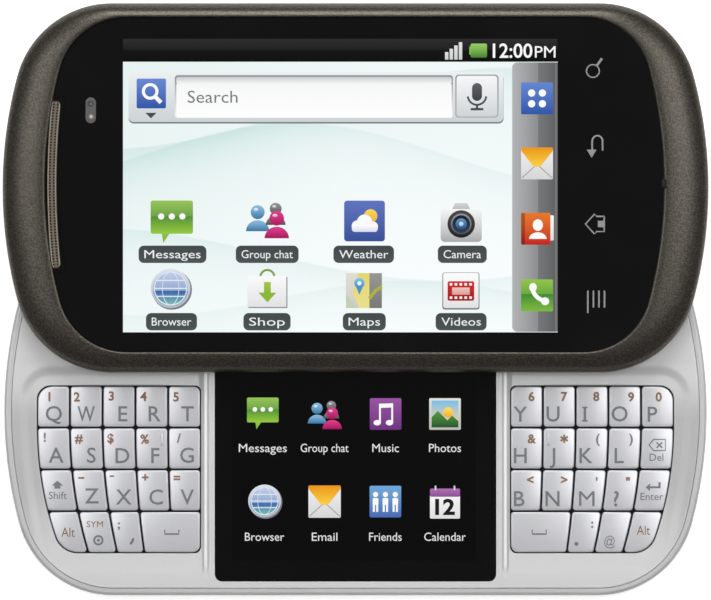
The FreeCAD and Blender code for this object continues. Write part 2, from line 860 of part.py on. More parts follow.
def add_cell(sketch, side, first, last, low_y, high_y, grow):
    """The outline of a key, or of a whole well, between two column lines.

    grow is half the gap between keys: minus for a key, plus for the well round them.
    Returns the corner points in plan, inner top, outer top, outer low and inner low.
    """
    inner_x = S.cluster_inner_x + S.column_pitch * first - grow
    outer_x = S.cluster_inner_x + S.column_pitch * last + grow
    inner_bow = BOWS[first] and BOWS[first] - grow
    outer_bow = BOWS[last] + grow
    low, high = low_y - grow, high_y + grow
    inner = cell_side(sketch, side, inner_x, inner_bow, low, high)
    outer = cell_side(sketch, side, outer_x, outer_bow, low, high)
    ends = [low_end_x(side, inner_x, inner_bow, low), low_end_x(side, outer_x, outer_bow, low)]
    top = sketch.addGeometry(
        line(side * inner_x.value, high.value, side * outer_x.value, high.value), False
    )
    base = sketch.addGeometry(line(ends[0], low.value, ends[1], low.value), False)
    join = Sketcher.Constraint
    sketch.addConstraint(
        [
            join("Horizontal", top),
            join("Horizontal", base),
            join("Coincident", top, 1, inner[0][0], inner[0][1]),
            join("Coincident", top, 2, outer[0][0], outer[0][1]),
            join("Coincident", base, 1, inner[-1][0], inner[-1][2]),
            join("Coincident", base, 2, outer[-1][0], outer[-1][2]),
        ]
    )
    place_point(sketch, top, 1, y=high)
    place_point(sketch, base, 1, y=low)
    return [
        (side * inner_x.value, high.value),
        (side * outer_x.value, high.value),
        (ends[1], low.value),
        (ends[0], low.value),
    ]


def upright_at(points):
    """Test for upright edges at any of some points in plan."""
    return lambda box: (
        box.XLength < 1e-4
        and box.YLength < 1e-4
        and any(math.hypot(box.XMin - x, box.YMin - y) < 0.02 for x, y in points)
    )


CLUSTER_CORNERS = [
    S.cluster_top_inner_corner,
    S.cluster_top_outer_corner,
    S.cluster_low_outer_corner,
    S.cluster_low_inner_corner,
]

# Each row from the middle outwards: name and how many columns wide.
KEY_ROWS = {
    -1: [
        [("t", 1), ("r", 1), ("e", 1), ("w", 1), ("q", 1)],
        [("g", 1), ("f", 1), ("d", 1), ("s", 1), ("a", 1)],
        [("v", 1), ("c", 1), ("x", 1), ("z", 1), ("shift", 1)],
        [("space_left", 2), ("comma", 1), ("symbol", 1), ("alt_left", 1)],
    ],
    1: [
        [("y", 1), ("u", 1), ("i", 1), ("o", 1), ("p", 1)],
        [("h", 1), ("j", 1), ("k", 1), ("l", 1), ("delete", 1)],
        [("b", 1), ("n", 1), ("m", 1), ("question", 1), ("enter", 1)],
        [("space_right", 2), ("period", 1), ("at", 1), ("alt_right", 1)],
    ],
}


def make_key(label, side, row, first, last):
    """One keycap: its cell's outline, rounded at the corners and along the top edge."""
    body = new_body(label)
    sketch = new_sketch(body, key_bottom)
    high_y = S.cluster_high_y - S.row_pitch * row
    low_y = high_y - S.row_pitch
    corners = add_cell(sketch, side, first, last, low_y, high_y, -half_gap)
    pad(body, sketch, S.key_thickness)
    at_cluster_corner = [
        first == 0 and row == 0,
        last == 5 and row == 0,
        last == 5 and row == 3,
        first == 0 and row == 3,
    ]
    plain = [c for c, special in zip(corners, at_cluster_corner) if not special]
    round_edges(body, S.key_corner, upright_at(plain))
    for corner, special, radius in zip(corners, at_cluster_corner, CLUSTER_CORNERS):
        if special:
            round_edges(body, radius, upright_at([corner]))
    round_edges(body, S.key_edge_round, at_height(key_top))
    return body


def make_keys():
    """Every keycap of both clusters."""
    made = []
    for side, rows in KEY_ROWS.items():
        for row, names in enumerate(rows):
            first = 0
            for name, wide in names:
                made.append(make_key(f"key_{name}", side, row, first, first + wide))
                first += wide
    return made


def make_keymat():
    """The two rubber mats under the key clusters."""
    body = new_body("keymat", many_solids=True)
    mats = new_sketch(body, mat_bottom)
    inner_x = S.cluster_inner_x - S.mat_margin
    outer_x = S.cluster_inner_x + S.column_pitch * 5 + S.mat_margin
    low_y = cluster_low_y - S.mat_margin
    high_y = S.cluster_high_y + S.mat_margin
    add_rectangle(mats, inner_x, outer_x, low_y, high_y, [None, S.mat_corner, None, None])
    add_rectangle(mats, -outer_x, -inner_x, low_y, high_y, [S.mat_corner, None, None, None])
    pad(body, mats, S.mat_thickness)
    return body


guide_fit = S.running_gap
guide_middle_y = derive("guide_middle_y", (S.guide_low_y + S.guide_high_y) / 2)


def stake_points():
    """The four stakes that hold the guide plate on the deck."""
    half_y = S.stake_spacing_y / 2
    return corner_points(
        S.stake_spacing_x / 2, guide_middle_y - half_y, guide_middle_y + half_y
    )


def add_flex_slit(sketch):
    """The slit that the flexible circuit comes up through."""
    add_centered(sketch, NOTHING, S.flex_low_y, S.flex_width, S.flex_thickness, S.bay_clearance)


def make_key_deck():
    """The silver deck: two shallow recesses, two key wells and the second display's seat."""
    body = new_body("key_deck")
    plate = new_sketch(body, deck_bottom)
    add_body_outline(plate, deck_inset)
    pad(body, plate, S.deck_thickness)
    round_edges(body, S.deck_edge_round, at_height(deck_top))
    recess = new_sketch(body, deck_top)
    inner, outer = S.recess_inner_x, S.recess_outer_x
    high, low = S.recess_high_corner, S.recess_low_corner
    small = S.recess_inner_corner
    add_rectangle(
        recess, inner, outer, S.recess_low_y, S.recess_high_y, [small, low, high, small]
    )
    add_rectangle(
        recess, -outer, -inner, S.recess_low_y, S.recess_high_y, [low, small, small, high]
    )
    pocket(body, recess, S.recess_depth)
    for side in (1, -1):
        well = new_sketch(body, recess_floor)
        corners = add_cell(well, side, 0, 5, cluster_low_y, S.cluster_high_y, half_gap)
        pocket(body, well, S.deck_thickness)
        for corner, radius in zip(corners, CLUSTER_CORNERS):
            round_edges(body, radius + S.key_gap, upright_at([corner]))
    seat = new_sketch(body, deck_top)
    half_seat = S.inner_half_length + S.inner_fit
    corner = S.inner_corner + S.inner_fit
    add_rectangle(
        seat,
        -half_seat,
        half_seat,
        S.inner_low_y - S.inner_fit,
        S.inner_high_y + S.inner_fit,
        [corner, corner, None, None],
    )
    pocket(body, seat, S.inner_lens_thickness)
    through = new_sketch(body, inner_lens_bottom)
    half_opening = S.inner_module_half_length + S.inner_fit
    add_rectangle(
        through,
        -half_opening,
        half_opening,
        S.inner_module_low_y - S.inner_fit,
        S.inner_module_high_y + S.inner_fit,
    )
    pocket(body, through, S.deck_thickness)
    guide_seat = new_sketch(body, deck_top)
    half_guide = S.guide_half_length + guide_fit
    add_rectangle(
        guide_seat,
        -half_guide,
        half_guide,
        S.guide_low_y - guide_fit,
        S.guide_high_y + guide_fit,
    )
    pocket(body, guide_seat, S.guide_thickness)
    stakes = new_sketch(body, deck_top - S.guide_thickness)
    for x, y in stake_points():
        add_circle(stakes, x, y, S.stake_radius - guide_fit)
    pad(body, stakes, S.guide_thickness)
    slit = new_sketch(body, deck_top - S.guide_thickness)
    add_flex_slit(slit)
    pocket(body, slit, S.deck_thickness)
    pilots = new_sketch(body, deck_bottom)
    make_screw_circles(pilots, S.screw_radius + S.screw_gap)
    pocket(body, pilots, S.screw_bite + S.screw_gap, reverse=True)
    return body


def make_inner_lens():
    """The second display's cover glass, flush with the middle of the deck."""
    body = new_body("inner_lens")
    glass = new_sketch(body, inner_lens_bottom)
    add_rectangle(
        glass,
        -(S.inner_half_length),
        S.inner_half_length,
        S.inner_low_y,
        S.inner_high_y,
        [S.inner_corner, S.inner_corner, None, None],
    )
    pad(body, glass, S.inner_lens_thickness)
    return body


def make_inner_display():
    """The second display's module under its glass."""
    body = new_body("inner_display")
    low = inner_lens_bottom - S.inner_module_gap - S.inner_module_thickness
    module = new_sketch(body, low)
    add_rectangle(
        module,
        -(S.inner_module_half_length),
        S.inner_module_half_length,
        S.inner_module_low_y,
        S.inner_module_high_y,
    )
    pad(body, module, S.inner_module_thickness)
    return body


def shoe_strips(sketch, width):
    """One strip of the given width along each shoe."""
    for side in (1, -1):
        middle = S.shoe_center_x * side
        add_rectangle(
            sketch, middle - width / 2, middle + width / 2, S.shoe_low_y, shoe_high_y
        )


shoe_middle_y = derive("shoe_middle_y", (S.shoe_low_y + shoe_high_y) / 2)
spring_moving_y = derive("spring_moving_y", shoe_middle_y - S.slide_travel / 2)


def make_guide_rails():
    """The fixed plate with its two T shaped shoes, and a pin on each for a spring."""
    body = new_body("guide_rails")
    low = deck_top - S.guide_thickness
    plate = new_sketch(body, low)
    half = S.guide_half_length
    add_rectangle(plate, -half, half, S.guide_low_y, S.guide_high_y)
    pad(body, plate, S.guide_thickness)
    holes = new_sketch(body, low)
    for x, y in stake_points():
        add_circle(holes, x, y, S.stake_radius)
    add_flex_slit(holes)
    pocket(body, holes, S.guide_thickness, reverse=True)
    necks = new_sketch(body, deck_top)
    shoe_strips(necks, S.shoe_neck_width)
    pad(body, necks, shoe_head_bottom - deck_top)
    heads = new_sketch(body, shoe_head_bottom)
    shoe_strips(heads, S.shoe_head_width)
    pad(body, heads, S.shoe_head_height)
    pins = new_sketch(body, shoe_head_top)
    for side in (1, -1):
        add_circle(pins, S.shoe_center_x * side, shoe_middle_y, S.spring_pin_radius)
    pad(body, pins, bay_top - S.running_gap - shoe_head_top)
    return body


def make_slide_plate():
    """The moving steel plate with the shoes' slots, the circuit's slot and the spring pins."""
    body = new_body("slide_plate", on_display_half=True)
    plate = new_sketch(body, slide_bottom)
    half_x, half_y = S.plate_half_length, S.plate_half_width
    add_rectangle(plate, -half_x, half_x, -half_y, half_y, [S.plate_corner] * 4)
    pad(body, plate, S.slide_plate_thickness)
    cuts = new_sketch(body, slide_bottom)
    slot_low_y = S.shoe_low_y - S.slide_travel - S.running_gap
    slot_high_y = shoe_high_y + S.running_gap
    half_slot = S.shoe_neck_width / 2 + S.running_gap
    for side in (1, -1):
        middle = S.shoe_center_x * side
        add_rectangle(cuts, middle - half_slot, middle + half_slot, slot_low_y, slot_high_y)
    half_flex = S.flex_width / 2 + S.bay_clearance
    add_rectangle(
        cuts,
        -half_flex,
        half_flex,
        S.flex_low_y - S.slide_travel - S.flex_slot_side,
        S.flex_low_y + S.flex_slot_side,
    )
    for x, y in corner_points(S.plate_stake_x, S.plate_stake_y):
        add_circle(cuts, x, y, S.stake_radius)
    pocket(body, cuts, S.slide_plate_thickness, reverse=True)
    pins = new_sketch(body, slide_plate_top)
    for side in (1, -1):
        add_circle(pins, S.spring_moving_x * side, spring_moving_y, S.spring_pin_radius)
    pad(body, pins, S.spring_bay_height - S.running_gap)
    return body


def make_upper_back_cover():
    """The display half's back shell, hollow above the slide plate for the springs."""
    body = new_body("upper_back_cover", on_display_half=True)
    wall = new_sketch(body, slide_bottom)
    add_body_outline(wall)
    pad(body, wall, S.back_cover_wall_height)
    round_edges(body, S.back_cover_round, at_height(slide_bottom))
    lip = new_sketch(body, bezel_bottom)
    add_body_outline(lip, S.bezel_wall + S.running_gap)
    pad(body, lip, cover_top - bezel_bottom)
    half_x, half_y = S.plate_half_length, S.plate_half_width
    grow = S.running_gap
    seat = new_sketch(body, slide_bottom)
    add_rectangle(
        seat,
        -(half_x + grow),
        half_x + grow,
        -(half_y + grow),
        half_y + grow,
        [S.plate_corner + grow] * 4,
    )
    pocket(body, seat, S.slide_plate_thickness, reverse=True)
    bay = new_sketch(body, slide_plate_top)
    half_x, half_y = S.bay_half_length, S.bay_half_width
    add_rectangle(bay, -half_x, half_x, -half_y, half_y, [S.bay_corner] * 4)
    pocket(body, bay, S.spring_bay_height, reverse=True)
    stakes = new_sketch(body, slide_bottom)
    for x, y in corner_points(S.plate_stake_x, S.plate_stake_y):
        add_circle(stakes, x, y, S.stake_radius - grow)
    pad(body, stakes, S.slide_plate_thickness)
    return body


def make_upper_bezel():
    """The frame round the glass: an upright wall and a crown, wider and flatter at the ends."""
    body = new_body("upper_bezel", on_display_half=True)
    crown_low = crown_top - S.crown_low_drop
    wall = new_sketch(body, bezel_bottom)
    add_body_outline(wall)
    pad(body, wall, crown_low - bezel_bottom)
    steps = [
        (crown_low, NOTHING, NOTHING),
        (crown_top - S.crown_mid_drop, S.crown_mid_side, S.crown_mid_end),
        (crown_top - S.crown_high_drop, S.crown_high_side, S.crown_high_end),
        (crown_top, S.crown_top_side, S.crown_top_end),
    ]
    sections = []
    for height, side_inset, end_inset in steps:
        section = new_sketch(body, height)
        add_body_outline(section, side_inset, end_inset)
        sections.append(section)
    doc.recompute()
    crown = body.newObject("PartDesign::AdditiveLoft", "bezel_crown")
    crown.Profile = sections[0]
    crown.Sections = sections[1:]
    lens_seat = new_sketch(body, crown_top)
    add_lens_outline(lens_seat, S.lens_fit)
    pocket(body, lens_seat, crown_top - lens_bottom)
    window = new_sketch(body, lens_bottom)
    add_lens_outline(window, -(S.lens_ledge))
    pocket(body, window, lens_bottom - bezel_bottom)
    hollow = new_sketch(body, bezel_bottom)
    add_body_outline(hollow, S.bezel_wall)
    pocket(body, hollow, lens_bottom - S.bezel_floor - bezel_bottom, reverse=True)
    return body


def add_grille_outline(sketch, grow=NOTHING):
    """A slot bent along the glass's left end, with round ends.

    Its middle line is an arc about the end arc's centre; a half circle closes each end.
    """
    center_x = S.lens_end_radius - S.lens_half_length
    bend = S.lens_end_radius - S.grille_inset
    half = S.grille_width / 2 + grow
    inner, outer = bend - half, bend + half
    lean = math.asin(S.grille_half_height.value / bend.value)
    cx, cy = center_x.value, S.lens_shift.value
    tips = [math.pi - lean, math.pi + lean]
    spots = [(cx + bend.value * math.cos(t), cy + bend.value * math.sin(t)) for t in tips]
    edges = [
        arc(cx, cy, outer.value, tips[0], tips[1]),
        arc(*spots[1], half.value, tips[1], tips[1] + math.pi),
        arc(cx, cy, inner.value, tips[0], tips[1]),
        arc(*spots[0], half.value, tips[0] - math.pi, tips[0]),
    ]
    ids = list(sketch.addGeometry(edges, False))
    join = Sketcher.Constraint
    sketch.addConstraint(
        [
            join("Tangent", ids[0], 2, ids[1], 1),
            join("Tangent", ids[1], 2, ids[2], 2),
            join("Tangent", ids[2], 1, ids[3], 1),
            join("Tangent", ids[3], 2, ids[0], 1),
            join("Coincident", ids[0], 3, ids[2], 3),
        ]
    )
    place_point(sketch, ids[0], 3, center_x, S.lens_shift)
    dimension(sketch, "Radius", (ids[0],), outer)
    place_point(sketch, ids[1], 3, y=S.lens_shift - S.grille_half_height)
    place_point(sketch, ids[3], 3, y=S.lens_shift + S.grille_half_height)
    dimension(sketch, "Radius", (ids[1],), half)


def make_touch_lens():
    """The cover glass, with the earpiece's slot at its left end."""
    body = new_body("touch_lens", on_display_half=True)
    glass = new_sketch(body, lens_bottom)
    add_lens_outline(glass)
    pad(body, glass, S.lens_thickness)
    slot = new_sketch(body, lens_top)
    add_grille_outline(slot, S.grille_fit)
    pocket(body, slot, S.lens_thickness)
    return body


def make_main_display():
    """The main display's module behind the glass."""
    body = new_body("main_display", on_display_half=True)
    module = new_sketch(body, cover_top)
    middle = (S.screen_center_x, S.screen_center_y)
    add_centered(module, *middle, S.module_length, S.module_width)
    pad(body, module, S.module_thickness)
    return body


def make_earpiece():
    """The earpiece: the bent grille in the glass and the sound capsule under it."""
    grille = new_body("earpiece_grille", on_display_half=True)
    strip = new_sketch(grille, lens_bottom)
    add_grille_outline(strip)
    pad(grille, strip, S.lens_thickness - S.grille_top_drop)
    capsule_x = S.lens_ledge + S.grille_fit - S.lens_half_length + S.bay_clearance
    middle_y = S.slide_travel + S.lens_shift
    capsule_top = lens_bottom - S.lens_gap
    capsule = box_between(
        "sound_capsule",
        (capsule_x, middle_y - S.capsule_width / 2, capsule_top - S.capsule_height),
        (capsule_x + S.capsule_length, middle_y + S.capsule_width / 2, capsule_top),
    )
    return compound("earpiece", [grille, capsule])


def make_display_flex():
    """The flexible circuit: up from the board through both slits, then along the bay's roof."""
    thick, bend = S.flex_thickness.value, S.flex_bend.value
    width = S.flex_width.value
    back_y = S.flex_low_y.value - thick / 2
    front_y = back_y + thick
    low_z = (board_bottom + S.board_thickness).value
    roof_z = bay_top.value
    high_z = roof_z - S.running_gap.value
    under_z = high_z - thick
    end_y = S.flex_low_y.value + S.flex_run.value
    center_y, center_z = front_y + bend, under_z - bend
    diagonal = math.sqrt(0.5)

    def bend_point(radius):
        return (center_y - radius * diagonal, center_z + radius * diagonal)

    def at(y, z):
        return FreeCAD.Vector(-width / 2, y, z)

    outer_bend = Part.Arc(
        at(back_y, center_z), at(*bend_point(bend + thick)), at(center_y, high_z)
    )
    inner_bend = Part.Arc(at(center_y, under_z), at(*bend_point(bend)), at(front_y, center_z))
    edges = [
        Part.LineSegment(at(back_y, low_z), at(back_y, center_z)),
        outer_bend,
        Part.LineSegment(at(center_y, high_z), at(end_y, high_z)),
        Part.LineSegment(at(end_y, high_z), at(end_y, under_z)),
        Part.LineSegment(at(end_y, under_z), at(center_y, under_z)),
        inner_bend,
        Part.LineSegment(at(front_y, center_z), at(front_y, low_z)),
        Part.LineSegment(at(front_y, low_z), at(back_y, low_z)),
    ]
    section = Part.Face(Part.Wire([edge.toShape() for edge in edges]))
    ribbon = section.extrude(FreeCAD.Vector(width, 0, 0))
    flex = doc.addObject("Part::Feature", "display_flex")
    flex.Label = "display_flex"
    flex.Shape = ribbon
    flex.Placement = FreeCAD.Placement()
    return flex


def make_spring_wire(side):
    """A bent wire from the eye on the shoe's pin round an elbow to the eye on the plate's."""
    height = (shoe_head_top + S.running_gap + S.spring_wire_radius).value
    wire_radius = S.spring_wire_radius.value
    eye = (S.spring_pin_radius + S.running_gap + S.spring_wire_radius).value
    fixed = FreeCAD.Vector(side * S.shoe_center_x.value, shoe_middle_y.value, height)
    moving_y = (spring_moving_y + S.slide_travel).value
    moving = FreeCAD.Vector(side * S.spring_moving_x.value, moving_y, height)
    elbow = FreeCAD.Vector(side * S.spring_elbow_x.value, shoe_middle_y.value, height)
    out_arm = (fixed - elbow).normalize()
    far_arm = (moving - elbow).normalize()
    half_angle = out_arm.getAngle(far_arm) / 2
    bend = S.spring_elbow_radius.value
    back = bend / math.tan(half_angle)
    first = elbow + out_arm * back
    last = elbow + far_arm * back
    middle_way = (out_arm + far_arm).normalize()
    center = elbow + middle_way * (bend / math.sin(half_angle))
    top = center - middle_way * bend
    start = fixed - out_arm * eye
    finish = moving - far_arm * eye
    path = Part.Wire(
        [
            Part.LineSegment(start, first).toShape(),
            Part.Arc(first, top, last).toShape(),
            Part.LineSegment(last, finish).toShape(),
        ]
    )
    section = Part.Wire(Part.Circle(start, out_arm, wire_radius).toShape())
    wire = path.makePipeShell([section], True, False)
    eyes = [Part.makeTorus(eye, wire_radius, spot) for spot in (fixed, moving)]
    return wire.fuse(eyes).removeSplitter()


def make_slide_springs():
    """The two springs that push the display half to either end of its slide."""
    springs = doc.addObject("Part::Feature", "slide_springs")
    springs.Label = "slide_springs"
    springs.Shape = Part.makeCompound([make_spring_wire(side) for side in (1, -1)])
    springs.Placement = FreeCAD.Placement()
    return springs


pieces = [
    make_rear_case(),
    make_battery_cover(),
    make_battery(),
    make_main_board(),
    make_camera_lens(),
    make_case_screws(),
    make_side_key("power_key"),
    make_side_key("volume_rocker"),
    make_side_band(),
    make_key_deck(),
    make_keymat(),
    make_inner_lens(),
    make_inner_display(),
    make_guide_rails(),
    make_slide_plate(),
    make_upper_back_cover(),
    make_upper_bezel(),
    make_touch_lens(),
    make_main_display(),
    make_earpiece(),
    make_display_flex(),
    make_slide_springs(),
    *make_keys(),
]
doc.recompute()

for item in doc.Objects:
    if "Invalid" in item.State or "Error" in item.State:
        raise ValueError(f"{item.Name} failed: {item.State}")
for piece in pieces:
    if piece.Shape.isNull() or not piece.Shape.isValid():
        raise ValueError(f"{piece.Label} has no valid shape")

os.makedirs("parts", exist_ok=True)
for piece in pieces:
    piece.Shape.exportStep(f"parts/{piece.Label}.step")
    box = piece.Shape.BoundBox
    print(
        piece.Label,
        len(piece.Shape.Solids),
        f"{piece.Shape.Volume:.1f} mm3",
        f"z {box.ZMin:.2f} to {box.ZMax:.2f}",
    )
print(len(pieces), "pieces")
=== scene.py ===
# %% [markdown]
# A slider phone, dressed for its picture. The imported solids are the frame: they fix every size
# and every joint. This script adds the finishes and the shapes that are easier as surfaces
# worked out with numpy: the crowned bezel, the soft recesses of the keyboard deck, the keycaps
# and all that the two screens show. Lengths are written in millimetres and put into the meshes
# in metres.

# %% Load the frame
import math

import bpy
import numpy as np
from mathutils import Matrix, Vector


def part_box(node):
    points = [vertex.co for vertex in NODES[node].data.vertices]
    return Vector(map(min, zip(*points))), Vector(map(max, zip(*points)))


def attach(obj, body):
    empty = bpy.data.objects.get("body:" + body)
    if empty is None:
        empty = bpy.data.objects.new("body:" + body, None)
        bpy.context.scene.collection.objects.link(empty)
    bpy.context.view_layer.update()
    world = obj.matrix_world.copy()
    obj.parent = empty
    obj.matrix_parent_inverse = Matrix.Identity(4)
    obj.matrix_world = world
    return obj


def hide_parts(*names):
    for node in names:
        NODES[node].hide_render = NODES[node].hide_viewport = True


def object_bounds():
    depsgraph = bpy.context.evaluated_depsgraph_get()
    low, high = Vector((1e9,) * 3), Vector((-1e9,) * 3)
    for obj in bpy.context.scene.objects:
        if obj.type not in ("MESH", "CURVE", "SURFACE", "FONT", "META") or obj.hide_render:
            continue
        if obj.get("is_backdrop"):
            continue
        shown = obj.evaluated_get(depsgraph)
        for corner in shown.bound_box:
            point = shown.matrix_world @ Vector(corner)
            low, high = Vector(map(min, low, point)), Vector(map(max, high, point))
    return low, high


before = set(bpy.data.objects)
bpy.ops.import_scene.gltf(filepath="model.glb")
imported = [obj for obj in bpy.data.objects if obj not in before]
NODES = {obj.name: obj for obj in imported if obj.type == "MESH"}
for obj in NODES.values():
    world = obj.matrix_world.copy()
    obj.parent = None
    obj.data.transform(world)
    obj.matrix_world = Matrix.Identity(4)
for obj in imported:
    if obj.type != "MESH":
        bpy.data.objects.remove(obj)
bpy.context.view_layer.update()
MM = 0.001
TRAVEL = 38.6

# %% [markdown]
# The picture looks straight down at the open phone, with the display half at the top. Straight
# edges stay parallel and the upper half is only 0.7 percent larger than the lower one, so
# the camera stands about a metre away with a long lens. 711 pixels across at that distance give
# the focal length.

# %% Camera
IMAGE_WIDTH, SENSOR_WIDTH = 711, 36.0
CAMERA_HEIGHT, FOCAL_PIXELS = 1044.0, 5997.0

camera_data = bpy.data.cameras.new("camera")
camera_data.sensor_width = SENSOR_WIDTH
camera_data.lens = FOCAL_PIXELS * SENSOR_WIDTH / IMAGE_WIDTH
camera = bpy.data.objects.new("camera", camera_data)
camera.location = (0.0, 19.3 * MM, CAMERA_HEIGHT * MM)
bpy.context.scene.collection.objects.link(camera)
bpy.context.scene.camera = camera
print("lens, mm:", round(camera_data.lens, 1))

# %% [markdown]
# Studio light: a wide soft panel beyond the top edge of the phone, as the bright top of the
# bezel and its dark lower side show, a weaker panel on either side and a dim grey room. A panel
# straight above evens out the shadows; it is left out of reflections, because the flat glass
# would mirror it into the camera. Together they light a level surface so that a colour renders
# about as it is written.

# %% Lights and room
AIM = (0.0, 0.02, 0.0)


def add_panel(name, place, size, power, mirrored=True):
    """A square soft light at a place in metres, turned towards the phone."""
    data = bpy.data.lights.new(name, "AREA")
    data.shape = "SQUARE"
    data.size = size
    data.energy = power
    panel = bpy.data.objects.new(name, data)
    away = np.subtract(place, AIM)
    panel.location = place
    panel.rotation_euler = (math.acos(away[2] / np.linalg.norm(away)), 0.0, math.atan2(away[1],
        away[0]) + math.pi / 2)
    panel.visible_glossy = mirrored
    bpy.context.scene.collection.objects.link(panel)


add_panel("panel_beyond", (0.0, 0.85, 0.85), 0.6, 6.2)
add_panel("panel_left", (-0.54, 0.22, 1.0), 0.46, 1.9)
add_panel("panel_right", (0.54, 0.22, 1.0), 0.46, 2.2)
add_panel("panel_above", (0.0, 0.0, 1.2), 0.5, 5.6, mirrored=False)

world = bpy.data.worlds.new("room")
world.use_nodes = True
bpy.context.scene.world = world
room = world.node_tree.nodes["Background"]
room.inputs["Color"].default_value = (1.0, 1.0, 1.0, 1.0)
room.inputs["Strength"].default_value = 0.16
bpy.context.scene.view_settings.view_transform = "Standard"

# %% [markdown]
# Materials are written as formulas. A `Value` wraps one socket of a node tree, and arithmetic
# on it adds Math nodes, so `1 - mask * 0.3` reads as it would on paper. Every other node comes
# from `Paint.node`, which takes the node's type, its settings and what its sockets hold.

# %% Shader formulas


class Value:
    """A number in a node tree. Arithmetic on it adds Math nodes."""

    def __init__(self, paint, socket):
        self.paint = paint
        self.socket = socket

    def math(self, operation, *others):
        """A Math node whose first value is this one."""
        return self.paint.arithmetic(operation, self, *others)

    def __abs__(self):
        return self.math("ABSOLUTE")

    def step(self, low, high):
        """0 below low, 1 above high and a smooth rise between; falls where low is above high."""
        return self.paint.node("ShaderNodeMapRange", {"interpolation_type": "SMOOTHSTEP"}, {0: self,
            1: low, 2: high, 3: 0.0, 4: 1.0})


for sign, operation in (("add", "ADD"), ("sub", "SUBTRACT"), ("mul", "MULTIPLY"),
                        ("truediv", "DIVIDE")):
    setattr(Value, f"__{sign}__", lambda a, b, kind=operation: a.paint.arithmetic(kind, a, b))
    setattr(Value, f"__r{sign}__", lambda a, b, kind=operation: a.paint.arithmetic(kind, b, a))


class Paint:
    """The node tree of a new material."""

    def __init__(self, name):
        self.material = bpy.data.materials.new(name)
        self.material.use_nodes = True
        self.tree = self.material.node_tree
        self.tree.nodes.clear()

    def node(self, kind, settings=None, inputs=None, out=0):
        """A node of a type, with its settings made first and then its sockets filled."""
        made = self.tree.nodes.new(kind)
        for key, setting in (settings or {}).items():
            setattr(made, key, setting)
        for key, value in (inputs or {}).items():
            if isinstance(value, Value):
                self.tree.links.new(value.socket, made.inputs[key])
            else:
                made.inputs[key].default_value = value
        return Value(self, made.outputs[out]) if len(made.outputs) else made

    def arithmetic(self, operation, *values):
        """A Math node over numbers and values."""
        return self.node("ShaderNodeMath", {"operation": operation}, dict(enumerate(values)))

    def place(self):
        """Where a point is on the object, in metres."""
        return self.node("ShaderNodeTexCoord", out="Object")

    def axes(self, vector=None):
        """The three numbers of a vector, Object coordinates in millimetres if none is given."""
        source = vector or self.place()
        split = self.tree.nodes.new("ShaderNodeSeparateXYZ")
        self.tree.links.new(source.socket, split.inputs[0])
        numbers = [Value(self, split.outputs[i]) for i in range(3)]
        return numbers if vector else [n / MM for n in numbers]

    def noise(self, per_mm, detail=2.0, roughness=0.5, stretch=None):
        """Smooth noise from 0 to 1 with a number of waves per millimetre."""
        where = self.place()
        if stretch:
            where = self.node("ShaderNodeMapping", None, {"Vector": where, "Scale": stretch})
        return self.node("ShaderNodeTexNoise", None, {"Vector": where, "Scale": per_mm / MM,
            "Detail": detail, "Roughness": roughness})

    def blend(self, factor, first, second):
        """A colour between two colours."""
        return self.node("ShaderNodeMix", {"data_type": "RGBA"}, {"Factor": factor, 6: first,
            7: second}, out=2)

    def scaled(self, color, share):
        """A colour times a number."""
        return self.node("ShaderNodeVectorMath", {"operation": "SCALE"}, {0: color, "Scale": share})

    def bump(self, height, strength, distance_mm):
        """A normal from a height."""
        return self.node("ShaderNodeBump", None, {"Height": height, "Strength": strength,
            "Distance": distance_mm * MM})

    def finish(self, **sockets):
        """The surface shader, with its sockets by name and _ for a space in them."""
        inputs = {key.replace("_", " "): value for key, value in sockets.items()}
        shader = self.node("ShaderNodeBsdfPrincipled", None, inputs)
        self.node("ShaderNodeOutputMaterial", None, {"Surface": shader})
        return self.material


def light(red, green, blue):
    """A colour picked as 0 to 255 screen values, turned to the linear light that shaders use."""
    share = np.array([red, green, blue]) / 255
    linear = np.where(share <= 0.04045, share / 12.92, ((share + 0.055) / 1.055) ** 2.4)
    return (*linear.tolist(), 1.0)


# %% [markdown]
# White paper lies under the phone. To the camera it is nearly all light of its own, so that
# it comes out white as in the picture, and the part that is left to the lamps holds the soft
# shadow of the phone.

# %% Floor
FLOOR_HALF, FLOOR_Z = 1.6, -0.0001
MIRRORED_GLOW = 0.45


def floor_finish():
    paint = Paint("white_paper")
    path = paint.tree.nodes.new("ShaderNodeLightPath")
    seen = Value(paint, path.outputs["Is Camera Ray"])
    mirrored = Value(paint, path.outputs["Is Glossy Ray"])
    fibre = paint.noise(0.4, detail=3.0)
    tone = paint.blend(fibre, light(226, 226, 225), light(236, 236, 235))
    paper = paint.node("ShaderNodeBsdfDiffuse", None, {"Color": tone})
    glow = paint.node("ShaderNodeEmission", None, {"Color": light(255, 255, 255), "Strength": 0.62})
    lit = paint.node("ShaderNodeAddShader", None, {0: paper, 1: glow})
    share = seen.math("MAXIMUM", mirrored * MIRRORED_GLOW)
    mixed = paint.node("ShaderNodeMixShader", None, {0: share, 1: paper, 2: lit})
    paint.node("ShaderNodeOutputMaterial", None, {"Surface": mixed})
    return paint.material


floor_mesh = bpy.data.meshes.new("floor")
floor_mesh.from_pydata([(x * FLOOR_HALF, y * FLOOR_HALF, FLOOR_Z) for x, y in ((-1, -1), (1, -1),
    (1, 1), (-1, 1))], [], [(0, 1, 2, 3)])
floor = bpy.data.objects.new("floor", floor_mesh)
floor.data.materials.append(floor_finish())
bpy.context.scene.collection.objects.link(floor)
floor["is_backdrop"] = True
print("floor, metres across:", 2 * FLOOR_HALF)
